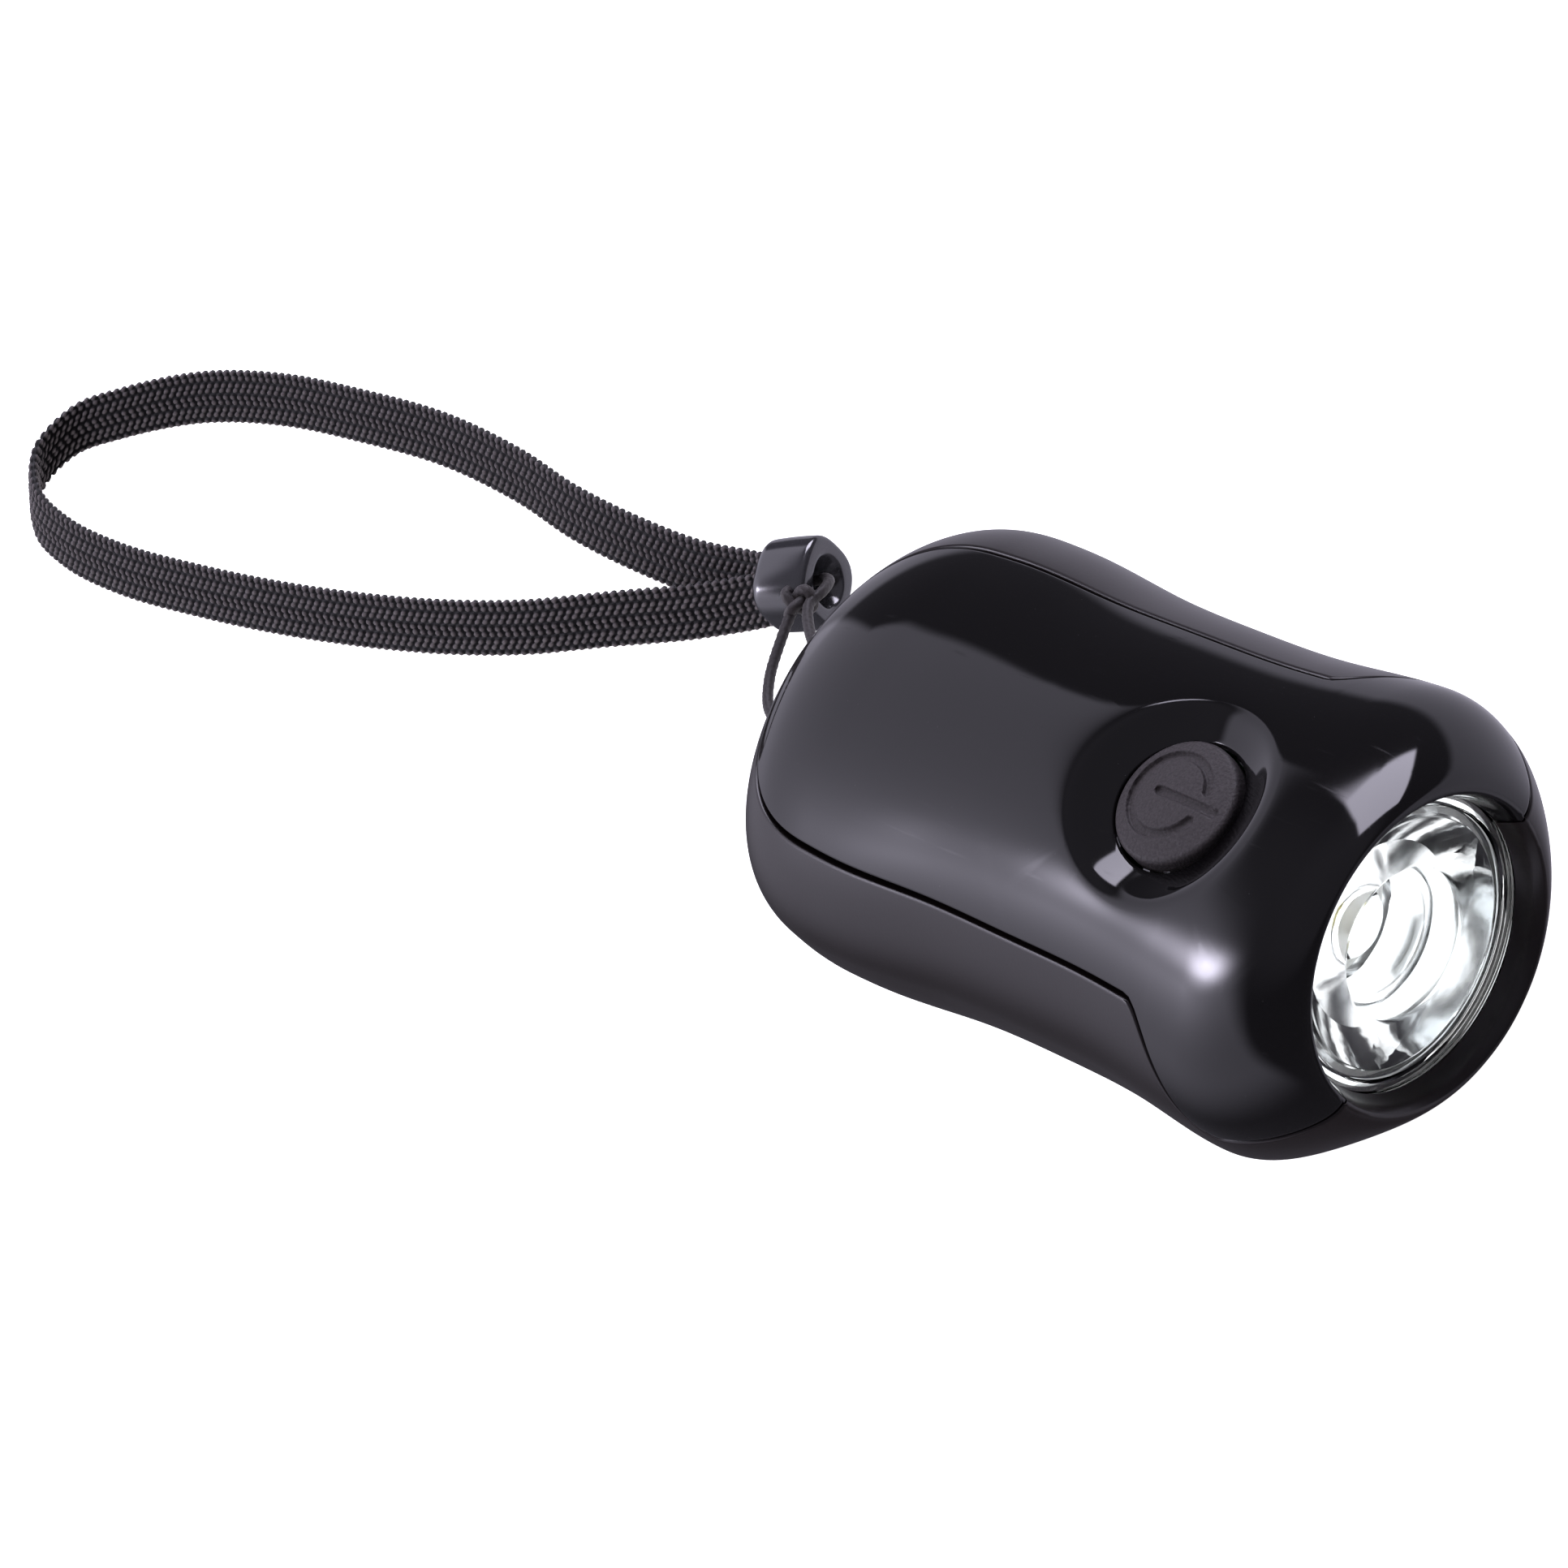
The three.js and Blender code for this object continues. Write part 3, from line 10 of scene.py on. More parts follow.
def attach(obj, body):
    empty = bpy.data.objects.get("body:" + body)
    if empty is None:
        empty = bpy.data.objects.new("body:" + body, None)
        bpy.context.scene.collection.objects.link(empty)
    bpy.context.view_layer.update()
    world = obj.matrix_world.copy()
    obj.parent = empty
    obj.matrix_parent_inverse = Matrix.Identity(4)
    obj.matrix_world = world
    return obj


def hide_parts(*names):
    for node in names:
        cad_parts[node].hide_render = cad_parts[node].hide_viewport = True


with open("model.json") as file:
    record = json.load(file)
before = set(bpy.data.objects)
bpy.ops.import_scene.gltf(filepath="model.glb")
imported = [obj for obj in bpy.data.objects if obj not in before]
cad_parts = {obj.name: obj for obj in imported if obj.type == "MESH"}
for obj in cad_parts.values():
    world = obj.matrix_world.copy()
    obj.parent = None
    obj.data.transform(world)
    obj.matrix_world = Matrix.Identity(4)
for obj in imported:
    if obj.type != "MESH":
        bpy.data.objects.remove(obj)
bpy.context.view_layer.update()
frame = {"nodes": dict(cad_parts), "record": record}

# Camera: a long studio lens over the lamp's near side, looking down on the button.
# Its place and turn are the photograph's, found from the body's outline and the strap.
MM = 0.001
CAMERA_LENS, FILM_WIDTH = 135.2, 36
CAMERA_PLACE = np.array([394.7, -113.3, 456.7]) * MM
CAMERA_RIGHT = (0.6556, 0.5426, -0.5252)
CAMERA_UP = (-0.294, 0.824, 0.4843)
CAMERA_BACK = (0.6956, -0.1631, 0.6997)
camera_data = bpy.data.cameras.new("camera")
camera_data.lens = CAMERA_LENS
camera_data.sensor_width = FILM_WIDTH
camera = bpy.data.objects.new("camera", camera_data)
bpy.context.scene.collection.objects.link(camera)
axes = Matrix((CAMERA_RIGHT, CAMERA_UP, CAMERA_BACK)).transposed().to_4x4()
camera.matrix_world = Matrix.Translation(CAMERA_PLACE) @ axes
bpy.context.scene.camera = camera

# Thin cord: braided nylon, 1.3 mm across, looped round a bar in the housing's rear.
# Both ends go to the bead, where they are tied in one small knot beside its mouth. Its route
# is given in millimetres from the body's rear end and above the floor.
BODY_LENGTH = 88
CORD_DIAMETER = 1.3
BRAID_STARTS, BRAID_LAY_IN_RADII, BRAID_RIPPLE_SHARE = 4, 6, 0.07
CORD_ROUTE = [
    (-23.9, 14.7, 5), (-22.6, 15.3, 5.3), (-21, 15.1, 6), (-19.3, 13.2, 7.6), (-18.9, 11, 8.6),
    (-16, 8.2, 9.4), (-10, 4.9, 10.8), (-4, 2.9, 11.8), (0.6, 2.45, 12), (3.4, 2.3, 12), (5, 0, 12),
    (3.4, -2.3, 12), (0.6, -2.45, 12), (-4, -3, 11.4), (-9, -3.4, 10.2), (-14, -2.2, 9.4),
    (-17.2, 1.2, 9), (-19.4, 6.2, 8.8), (-20.6, 9.6, 8.6),
]


def placed(points):
    """Points in millimetres from the torch's rear, moved to the frame's middle, in metres."""
    return (np.asarray(points, float) - (BODY_LENGTH / 2, 0, 0)) * MM


def spline(points, count):
    """Evenly spaced points on a smooth curve through the given ones: on each span a cubic whose
    end slopes weigh the neighbouring chords by the square roots of their lengths."""
    points = np.asarray(points, float)
    p = np.vstack([2 * points[0] - points[1], points, 2 * points[-1] - points[-2]])
    root = np.sqrt(np.linalg.norm(np.diff(p, axis=0), axis=1))[:, None]
    before, here, after = root[:-2], root[1:-1], root[2:]
    p0, p1, p2, p3 = p[:-3], p[1:-2], p[2:-1], p[3:]
    start = ((p1 - p0) / before - (p2 - p0) / (before + here)) * here + p2 - p1
    end = ((p3 - p2) / after - (p3 - p1) / (here + after)) * here + p2 - p1
    t = np.linspace(0, 1, 200, endpoint=False)[None, :, None]
    p1, p2, start, end = (a[:, None] for a in (p1, p2, start, end))
    square, cube = 3 * (p2 - p1) - 2 * start - end, 2 * (p1 - p2) + start + end
    fine = p1 + start * t + square * t**2 + cube * t**3
    fine = np.vstack([fine.reshape(-1, 3), points[-1]])
    along = np.append(0, np.cumsum(np.linalg.norm(np.diff(fine, axis=0), axis=1)))
    at = np.linspace(0, along[-1], count)
    return np.column_stack([np.interp(at, along, fine[:, k]) for k in range(3)])


def route_length(points):
    """The sum of a path's steps, in the path's own unit."""
    return float(np.linalg.norm(np.diff(points, axis=0), axis=1).sum())


def unit(vectors):
    """Vectors divided by their lengths."""
    return vectors / np.maximum(np.linalg.norm(vectors, axis=-1, keepdims=True), 1e-12)


def grid_faces(numbers):
    """Four-sided faces between neighbours of a table of point numbers."""
    corners = [numbers[:-1, :-1], numbers[1:, :-1], numbers[1:, 1:], numbers[:-1, 1:]]
    return np.stack(corners, -1).reshape(-1, 4).tolist()


def make(name, points, faces, sharp=40):
    """A piece from points in metres and faces of point numbers, with doubled points merged and
    edges steeper than the given angle, in degrees, left sharp."""
    mesh = bpy.data.meshes.new(name)
    mesh.from_pydata(points.reshape(-1, 3).tolist(), [], faces)
    work = bmesh.new()
    work.from_mesh(mesh)
    bmesh.ops.remove_doubles(work, verts=work.verts, dist=1e-7)
    bmesh.ops.dissolve_degenerate(work, edges=work.edges, dist=1e-7)
    work.to_mesh(mesh)
    work.free()
    mesh.shade_smooth()
    mesh.set_sharp_from_angle(angle=np.radians(sharp))
    piece = bpy.data.objects.new(name, mesh)
    bpy.context.scene.collection.objects.link(piece)
    return piece


def wrapped(rings, closed_path=False):
    """Faces round rings of points: each ring closes on itself, and the two end rings are filled
    unless the path closes too."""
    rows, columns = rings.shape[:2]
    numbers = np.arange(rows * columns).reshape(rows, columns)
    numbers = np.column_stack([numbers, numbers[:, 0]])
    if closed_path:
        return grid_faces(np.vstack([numbers, numbers[:1]]))
    return grid_faces(numbers) + [numbers[0, :-1].tolist(), numbers[-1, -2::-1].tolist()]


def tube(path, radius):
    """Rings round a path: a circle square to the path at each point, with a braid's ripple: the
    radius rises where either of two opposite four-start spirals, 3 diameters a turn, peaks."""
    along = unit(np.gradient(path, axis=0))
    side = unit(np.cross(along, (0, 0, 1)))
    up = np.cross(side, along)
    angle = np.linspace(0, 2 * np.pi, 16, endpoint=False)
    run = np.arange(len(path)) * route_length(path) / len(path)
    turn = 2 * np.pi * run / (BRAID_LAY_IN_RADII * radius)
    left = BRAID_STARTS * (angle + turn[:, None])
    right = BRAID_STARTS * (angle - turn[:, None])
    reach = radius * (1 - BRAID_RIPPLE_SHARE * (1 - np.maximum(np.cos(left), np.cos(right))))
    c, s = np.cos(angle)[None, :, None], np.sin(angle)[None, :, None]
    circle = c * side[:, None] + s * up[:, None]
    return path[:, None] + circle * reach[..., None]


def srgb(code):
    """A hex colour as Blender's linear colour."""
    c = np.array([int(code[i:i + 2], 16) for i in (1, 3, 5)]) / 255
    return (*np.where(c > 0.04045, ((c + 0.055) / 1.055) ** 2.4, c / 12.92), 1)


def feed(node, inputs):
    """Sets a shader node's inputs, each to a value or to another node's output."""
    for key, value in inputs.items():
        if isinstance(value, bpy.types.NodeSocket):
            node.id_data.links.new(value, node.inputs[key])
        else:
            node.inputs[key].default_value = value


def add(tree, kind, inputs, **settings):
    """Adds a shader node with its own settings and its inputs."""
    made = tree.nodes.new("ShaderNode" + kind)
    for name, value in settings.items():
        setattr(made, name, value)
    feed(made, inputs)
    return made


def new_material(name, look):
    """A material with the main shader's fixed values; returns it, its tree and the shader."""
    material = bpy.data.materials.new(name)
    material.use_nodes = True
    shader = material.node_tree.nodes["Principled BSDF"]
    feed(shader, look)
    return material, material.node_tree, shader


# Woven nylon: matt black yarn with a soft sheen. Its colour holds painted light and shade: the
# stitch crowns are painted grey as if lit, and the gaps between the stitches near black as if
# shaded. The height of the stitch is kept as an attribute that sets this painted tone.
# A real filament is about 0.03 mm thick and would not show, so it is drawn 0.12 mm wide.
FIBRE, FIBRE_RISE = 0.12, 0.05
woven_nylon, tree, shader = new_material("woven_nylon_black", {
    "Roughness": 0.55, "Sheen Weight": 0.15, "Sheen Roughness": 0.4, "Specular IOR Level": 0.45,
})
crown = add(tree, "Attribute", {}, attribute_name="stitch")
place = add(tree, "TexCoord", {}).outputs["Object"]
fibre = add(tree, "TexNoise", {"Vector": place, "Scale": 1 / (FIBRE * MM), "Detail": 2})
FACTOR, COLOR_A, COLOR_B, COLOR_OUT = 0, 6, 7, 2
# Painted light and shade: lit-looking grey on the stitch crowns, painted shade in the gaps.
lit = add(tree, "MapRange", {
    "Value": crown.outputs["Fac"], "From Min": 0.42,
}, interpolation_type="SMOOTHSTEP")
painted_stitch_shade = add(tree, "Mix", {
    FACTOR: lit.outputs["Result"], COLOR_A: srgb("#040304"), COLOR_B: srgb("#7c7375"),
}, data_type="RGBA")
fleck = add(tree, "Mix", {
    FACTOR: fibre.outputs["Fac"], COLOR_A: srgb("#707070"), COLOR_B: srgb("#ffffff"),
}, data_type="RGBA")
both = add(tree, "Mix", {
    FACTOR: 1.0, COLOR_A: painted_stitch_shade.outputs[COLOR_OUT], COLOR_B: fleck.outputs[COLOR_OUT],
}, data_type="RGBA", blend_type="MULTIPLY")
yarn_rise = add(tree, "Bump", {
    "Strength": 0.35, "Distance": FIBRE_RISE * MM, "Height": fibre.outputs["Fac"],
})
feed(shader, {"Base Color": both.outputs[COLOR_OUT], "Normal": yarn_rise.outputs["Normal"]})


def keep_stitch(piece, height):
    """Stores each point's stitch height, from 0 in a gap to 1 on a crown, for the painted shade."""
    piece.data.attributes.new("stitch", "FLOAT", "POINT").data.foreach_set("value", height.ravel())


def dress(piece, material, body, slot, *nodes):
    """Gives a piece its material and its CAD body, and hides the nodes that it stands for.
    The slot is not used.
    """
    piece.data.materials.clear()
    piece.data.materials.append(material)
    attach(piece, body)
    if nodes:
        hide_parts(*nodes)


# The knot is a trefoil: a circle's sine and cosine less twice those of the doubled angle, and
# the sine of the tripled angle for its height.
KNOT_PLACE = (-20.9, 10.9, 8.3)
KNOT_REACH, KNOT_HEIGHT_SHARE = 0.62, 1.3
# Cord and knot take one fixed stitch height, so the painted stitch shade gives them an even tone.
KNOT_STITCH, CORD_STITCH = 0.64, 0.6
t = np.linspace(0, 2 * np.pi, 120, endpoint=False)
knot_path = np.column_stack([
    np.sin(t) + 2 * np.sin(2 * t), np.cos(t) - 2 * np.cos(2 * t), -KNOT_HEIGHT_SHARE * np.sin(3 * t),
])
knot_rings = tube(placed(knot_path * KNOT_REACH + KNOT_PLACE), CORD_DIAMETER / 2 * MM)
knot = make("cord_knot", knot_rings, wrapped(knot_rings, closed_path=True))
keep_stitch(knot, np.full(len(knot.data.vertices), KNOT_STITCH))
dress(knot, woven_nylon, "torch", "woven_nylon")

cord_path = placed(spline(CORD_ROUTE, 420))
cord_rings = tube(cord_path, CORD_DIAMETER / 2 * MM)
cord = make("cord", cord_rings, wrapped(cord_rings))
keep_stitch(cord, np.full(len(cord.data.vertices), CORD_STITCH))
dress(cord, woven_nylon, "torch", "woven_nylon", "strap_cord")

# Webbing: a flat tubular braid of black nylon, 7.2 mm wide, that lies in one long loop.
# Nine rows of two-lobed stitches run round it, and both of its ends go into the bead. Its
# route is listed too, and its lobes' sizes are shares of a stitch and of a row.
WEBBING_WIDTH = 7.2
WEBBING_THICKNESS = 1.5
WEBBING_LEAN = (0, 0.7, 0.714)
WEBBING_EDGE_BEND, WEBBING_FACE_BEND = 0.42, 0.8
STITCH_LENGTH, STITCH_ROWS, STITCH_HEIGHT = 1.2, 9, 0.5
ROW_SHIFT_SHARE = 4 / 9
LOBE_LEAN, LOBE_SLANT = 0.16, 0.3
LOBE_OFFSET_SHARE, LOBE_LENGTH_SHARE, LOBE_WIDTH_SHARE = 0.21, 0.44, 0.27
WEBBING_ROUTE = [
    (-28.3, 12, 4), (-29.9, 11.2, 3.6), (-34, 9.4, 3), (-40.5, 6.3, 2.8), (-51, 1.8, 2.8),
    (-62, -3, 2.8), (-73.7, -6.9, 2.8), (-86.5, -10.2, 2.8), (-100, -13, 2.8), (-114.5, -15.3, 2.8),
    (-130, -17, 2.8), (-142, -16.8, 2.8), (-150.5, -14.6, 2.8), (-155, -9.6, 2.8),
    (-153.5, -3.4, 2.8), (-147.5, 1.2, 2.8), (-136, 7.2, 2.8), (-122.5, 11, 2.8),
    (-107.8, 13, 2.8), (-92.7, 14.2, 2.8), (-78, 13.6, 2.8), (-66, 12, 2.8), (-54, 11.4, 2.8),
    (-43, 11.6, 2.8), (-35, 12.6, 3.2), (-31, 12.9, 3.9), (-28.5, 13.3, 4.3),
]


def stitches(along, around):
    """Height of the braid, from 0 to 1. Each stitch is a pair of round lobes side by side that
    lean to the left or right in turn, and each row starts four ninths of a stitch after the
    last. A lobe's height is the root of one less the squares of its two distances."""
    best = np.zeros(np.broadcast(along, around).shape)
    for row_step in (-1, 0, 1):
        row = np.floor(around * STITCH_ROWS) + row_step
        side = np.where(np.mod(row, STITCH_ROWS) % 2 == 0, 1, -1)
        across = around * STITCH_ROWS - row - 0.5
        shifted = along / STITCH_LENGTH + row * ROW_SHIFT_SHARE
        for stitch_step in (-1, 0, 1):
            run = shifted - np.floor(shifted) - 0.5 - stitch_step
            for lobe in (-1, 1):
                off = across - LOBE_OFFSET_SHARE * lobe
                slid = run - side * (lobe * LOBE_LEAN + off * LOBE_SLANT)
                reach = (slid / LOBE_LENGTH_SHARE) ** 2 + (off / LOBE_WIDTH_SHARE) ** 2
                best = np.maximum(best, np.sqrt(np.clip(1 - reach, 0, 1)))
    return best


def webbing_rings(path, columns):
    """Rings round the webbing: a flattened loop whose two reaches are a cosine and a sine, each
    to its own power, raised by the stitches along the loop's normal. Returns the rings and the
    stitch heights."""
    along = unit(np.gradient(path, axis=0))
    across = np.array(WEBBING_LEAN)
    through = unit(np.cross(along, across))
    fine = np.linspace(0, 2 * np.pi, 2001)
    c, s = np.cos(fine), np.sin(fine)
    half_width = WEBBING_WIDTH / 2 - STITCH_HEIGHT / 2
    half_depth = WEBBING_THICKNESS / 2 - STITCH_HEIGHT / 2
    wide = np.sign(c) * np.abs(c) ** WEBBING_EDGE_BEND * half_width
    deep = np.sign(s) * np.abs(s) ** WEBBING_FACE_BEND * half_depth
    way = np.append(0, np.cumsum(np.hypot(np.diff(wide), np.diff(deep))))
    share = np.linspace(0, 1, columns, endpoint=False)
    w, d = np.interp(share * way[-1], way, wide), np.interp(share * way[-1], way, deep)
    slope_w, slope_d = (np.gradient(np.concatenate([v[-1:], v, v[:1]]))[1:-1] for v in (w, d))
    steepness = np.hypot(slope_w, slope_d)
    run = np.linspace(0, route_length(path), len(path))[:, None] / MM
    height = stitches(run, share[None, :])
    lift = (height - 0.5) * STITCH_HEIGHT
    ring_w = (w + slope_d / steepness * lift) * MM
    ring_d = (d - slope_w / steepness * lift) * MM
    return path[:, None] + ring_w[..., None] * across + ring_d[..., None] * through[:, None], height


webbing_path = placed(spline(WEBBING_ROUTE, 1250))
rings, stitch_height = webbing_rings(webbing_path, 78)
webbing = make("webbing", rings[:, ::-1], wrapped(rings), sharp=180)
keep_stitch(webbing, stitch_height[:, ::-1])
dress(webbing, woven_nylon, "torch", "woven_nylon", "strap_webbing")

# Bead: a glossy dark ABS block with soft corners that grips both ends of the webbing.
# A round mouth in its end narrows like a funnel to the hole that the thin cord comes out of.
BEAD_PLACE = (-25.5, 13.8, 4.9)
BEAD_TURN = 0.065 * 2 * np.pi
BEAD_HALF = (3.8, 4.9, 4.75)
BEAD_BEND = 0.72
ROUND_FROM_SHARE, ROUND_OVER_SHARE = 0.75, 0.2
# The grain is finer than 0.1 mm on the real mouldings and is drawn coarser, so that it shows.
MOULD_GRAIN, RUBBED_PATCH = 0.35, 14


def grained_moulding(name, colour, roughness, depth=0.012, ior=1.53):
    """Moulded ABS or a like plastic with a fine spark-eroded grain: soft wide highlights, and
    small changes of gloss where hands have polished it. The grain's depth is in millimetres."""
    material, tree, shader = new_material(name, {"IOR": ior})
    place = add(tree, "TexCoord", {}).outputs["Object"]
    cells = add(tree, "TexNoise", {"Vector": place, "Scale": 1 / (MOULD_GRAIN * MM), "Detail": 3})
    rubbed = add(tree, "TexNoise", {"Vector": place, "Scale": 1 / (RUBBED_PATCH * MM), "Detail": 4})
    gloss = add(tree, "MapRange", {
        "Value": rubbed.outputs["Fac"], "To Min": roughness * 0.85, "To Max": roughness * 1.15,
    })
    shade = add(tree, "Mix", {
        FACTOR: cells.outputs["Fac"], COLOR_A: [c * 0.85 for c in srgb(colour)], COLOR_B: srgb(colour),
    }, data_type="RGBA")
    rise = add(tree, "Bump", {"Strength": 0.5, "Distance": depth * MM, "Height": cells.outputs["Fac"]})
    feed(shader, {
        "Roughness": gloss.outputs["Result"], "Base Color": shade.outputs[COLOR_OUT],
        "Normal": rise.outputs["Normal"],
    })
    return material


def arc(start, end, count):
    """Points on a quarter of an ellipse between two points: it leaves the start along the first
    value and reaches the end along the second."""
    angle = np.linspace(0, np.pi / 2, count)
    share = np.column_stack([np.sin(angle), 1 - np.cos(angle)])
    return start + np.subtract(end, start) * share


def bead_rings():
    """The bead as rings: a profile of shares of its half width and of its half length, carried
    round a squared circle (cosine and sine to the power 0.72) that turns round at the mouth."""
    profile_shares = np.vstack([
        [(0.001, -1), (0.3, -1), (0.6, -0.99)],
        arc((0.72, -0.985), (1, -0.62), 9),
        [(1.01, -0.3), (1.015, 0.1), (1.01, 0.5)],
        arc((0.84, 1), (1, 0.78), 7)[::-1],
        [(0.74, 1.0), (0.66, 1.0), (0.61, 0.97), (0.58, 0.9)],
        [(0.46, 0.6), (0.36, 0.38), (0.34, 0.1), (0.001, 0.1)],
    ])
    angle = np.linspace(0, 2 * np.pi, 64, endpoint=False)
    c, s = np.cos(angle), np.sin(angle)
    side = np.sign(c) * np.abs(c) ** BEAD_BEND * BEAD_HALF[1]
    up = np.sign(s) * np.abs(s) ** BEAD_BEND * BEAD_HALF[2]
    share = profile_shares[:, :1]
    round_share = np.clip((ROUND_FROM_SHARE - share) / ROUND_OVER_SHARE, 0, 1)
    side = share * (side * (1 - round_share) + c * BEAD_HALF[1] * round_share)
    up = share * (up * (1 - round_share) + s * BEAD_HALF[2] * round_share)
    along = profile_shares[:, 1:] * BEAD_HALF[0] + 0 * side
    turn_c, turn_s = np.cos(BEAD_TURN), np.sin(BEAD_TURN)
    points = np.stack([along * turn_c - side * turn_s, along * turn_s + side * turn_c, up], -1)
    return placed(points + BEAD_PLACE)


bead_points = bead_rings()
bead = make("bead", bead_points[:, ::-1], wrapped(bead_points), sharp=60)
bead_finish = bead.modifiers.new("soft edges", "SUBSURF")
bead_finish.levels = bead_finish.render_levels = 1
# Polished charcoal ABS: its shallow grain only softens the bright spots on its corners.
bead_abs = grained_moulding("gloss_abs_charcoal", "#26262a", 0.14, depth=0.003, ior=2)
dress(bead, bead_abs, "torch", "satin_black_abs", "strap_bead")

# Housing form: both shells are one moulded egg, split along a line that drops at the head.
# Half width, crown and belly change softly along it, and the ends round off to the lamp's rim.
LENS_HEIGHT = 16.8
RIM_RADIUS = 16.8
REAR_HALF_WIDTH, WAIST_HALF_WIDTH, HEAD_HALF_WIDTH = 25.2, 23.8, 26.1
REAR_TOP, BUTTON_TOP, BROW_TOP = 32.6, 35, 34.4
BELLY_DROP = 2
REAR_ROUNDING, SHOULDER_ROUNDING, BROW_ROUNDING, HEAD_LENGTH = 19.7, 13.2, 5, 18
REAR_BEND, ROUND_BEND = 2.52, 2
CROWN_BEND, CROWN_BEND_GAIN, BELLY_BEND, BELLY_BEND_LOSS = 1.92, 0.08, 2.8, 0.8
HEAD_TAPER_SHARES = (0.923, 0.572)
PARTING_REAR, PARTING_WAIST, PARTING_FRONT = 27.6, 28.1, 15.8
DROP_START, DROP_LENGTH = 67.6, 10
SEAT_WALL_LENGTH, SEAT_BORE_RADIUS = 7, 14.9
GROOVE_LENGTH, GROOVE_RADIUS = 2.7, 15.8
LIP_LENGTH, LIP_RADIUS, MOUTH_RADIUS = 2.9, 15.2, 16.3
FLARE_LENGTH, FLARE_RADIUS = 1.4, 15.75


def smooth(t):
    """0 to 1 with level ends: three squares less two cubes."""
    t = np.clip(t, 0, 1)
    return t * t * (3 - 2 * t)


def opened(distance, rounding, bend):
    """How far a rounded end has opened: a superellipse quarter of the given power."""
    left = np.clip(1 - distance / rounding, 0, 1)
    return (1 - left**bend) ** (1 / bend)


def guided(values, x):
    """A soft curve drawn by evenly spaced guide values: a uniform cubic spline."""
    spans = len(values) - 3
    at = np.clip(x / BODY_LENGTH, 0, 1) * spans
    i = np.minimum(at.astype(int), spans - 1)
    t = at - i
    weights = [(1 - t) ** 3, 3 * t**3 - 6 * t**2 + 4, 3 * t + 3 * t**2 - 3 * t**3 + 1, t**3]
    return sum(w * np.asarray(values)[i + k] for k, w in enumerate(weights)) / 6


WIDTH_GUIDES = (
    [REAR_HALF_WIDTH] * 3 + [(REAR_HALF_WIDTH + HEAD_HALF_WIDTH) / 2] + [WAIST_HALF_WIDTH] * 3
    + [HEAD_HALF_WIDTH] + [share * HEAD_HALF_WIDTH for share in HEAD_TAPER_SHARES]
)
TOP_GUIDES = (
    [REAR_TOP] * 3 + [(REAR_TOP + BUTTON_TOP) / 2, (REAR_TOP + 3 * BUTTON_TOP) / 4]
    + [BUTTON_TOP] * 2 + [(BUTTON_TOP + BROW_TOP) / 2] + [BROW_TOP] * 2
)


def section(x):
    """The section at a place along the body: half width, rise and drop from the lamp's axis, and
    the powers of the crown's and the belly's superellipse."""
    rear = opened(x, REAR_ROUNDING, REAR_BEND)
    shoulder = opened(BODY_LENGTH - x, SHOULDER_ROUNDING, ROUND_BEND)
    brow = opened(BODY_LENGTH - x, BROW_ROUNDING, ROUND_BEND)
    head = smooth((x - BODY_LENGTH + HEAD_LENGTH) / HEAD_LENGTH)
    width = RIM_RADIUS + (guided(WIDTH_GUIDES, x) - RIM_RADIUS) * shoulder
    rise = RIM_RADIUS + (guided(TOP_GUIDES, x) - LENS_HEIGHT - RIM_RADIUS) * brow
    drop = LENS_HEIGHT + BELLY_DROP * (1 - head)
    crown, belly = CROWN_BEND + CROWN_BEND_GAIN * head, BELLY_BEND - BELLY_BEND_LOSS * head
    return width * rear, rise * rear, drop * rear, crown, belly


def outline(x, angle):
    """Points on the section at x: half width times cosine, and rise or drop times sine, each to
    the power of two over the section's own power."""
    half, rise, drop, crown, belly = section(x)
    c, s = np.cos(angle), np.sin(angle)
    power = 2 / np.where(s < 0, belly, crown)
    y = half * np.sign(c) * np.abs(c) ** power
    z = np.where(s < 0, drop, rise) * np.sign(s) * np.abs(s) ** power
    return np.stack(np.broadcast_arrays(x, y, LENS_HEIGHT + z), -1)


def parting(x):
    """Height of the line between the shells: level, then a soft step down at the head."""
    side = PARTING_REAR + (PARTING_WAIST - PARTING_REAR) * x / DROP_START
    share = smooth((x - DROP_START) / DROP_LENGTH)
    return side + (PARTING_FRONT - side) * share


def seam_angle(x, shift):
    """Angle at which a section meets the parting line, moved up by the given shift: the arcsine
    of the line's share of the rise or the drop, to half the section's own power."""
    _, rise, drop, crown, belly = section(x)
    height = parting(x) + shift - LENS_HEIGHT
    share = np.clip(height / np.maximum(np.where(height > 0, rise, drop), 1e-9), -1, 1)
    power = np.where(height > 0, crown, belly) / 2
    return np.arcsin(np.sign(share) * np.abs(share) ** power)


def skin_normals(points, closed_rows, tip_normal):
    """Outward normals of a grid from the directions of its rows and columns. The first rows close
    on themselves, so their two ends share one normal, and the first row is a single point."""
    normals = unit(np.cross(np.gradient(points, axis=0), np.gradient(points, axis=1)))
    ends = normals[:closed_rows, [0, -1]].sum(1, keepdims=True)
    normals[:closed_rows, [0, -1]] = unit(ends)
    normals[0] = unit(np.array(tip_normal, float))
    return normals


def rolled(distance, radius):
    """How far a rounded edge falls below the surface at a distance from that edge."""
    left = np.clip(1 - distance / radius, 0, 1)
    return radius * (1 - np.sqrt(1 - left**2))


def seam_distance(points, normals, shift):
    """Distance over the surface to the parting line: height above or below it, divided by the
    steepness of that height over the surface."""
    x, z = points[..., 0], points[..., 2]
    step = 0.01
    fall = (parting(x + step) - parting(x - step)) / (2 * step)
    gradient = np.stack([-fall, 0 * fall, 0 * fall + 1], -1)
    over = gradient - (gradient * normals).sum(-1, keepdims=True) * normals
    return np.abs(z - parting(x) - shift) / np.maximum(np.linalg.norm(over, axis=-1), 0.05)


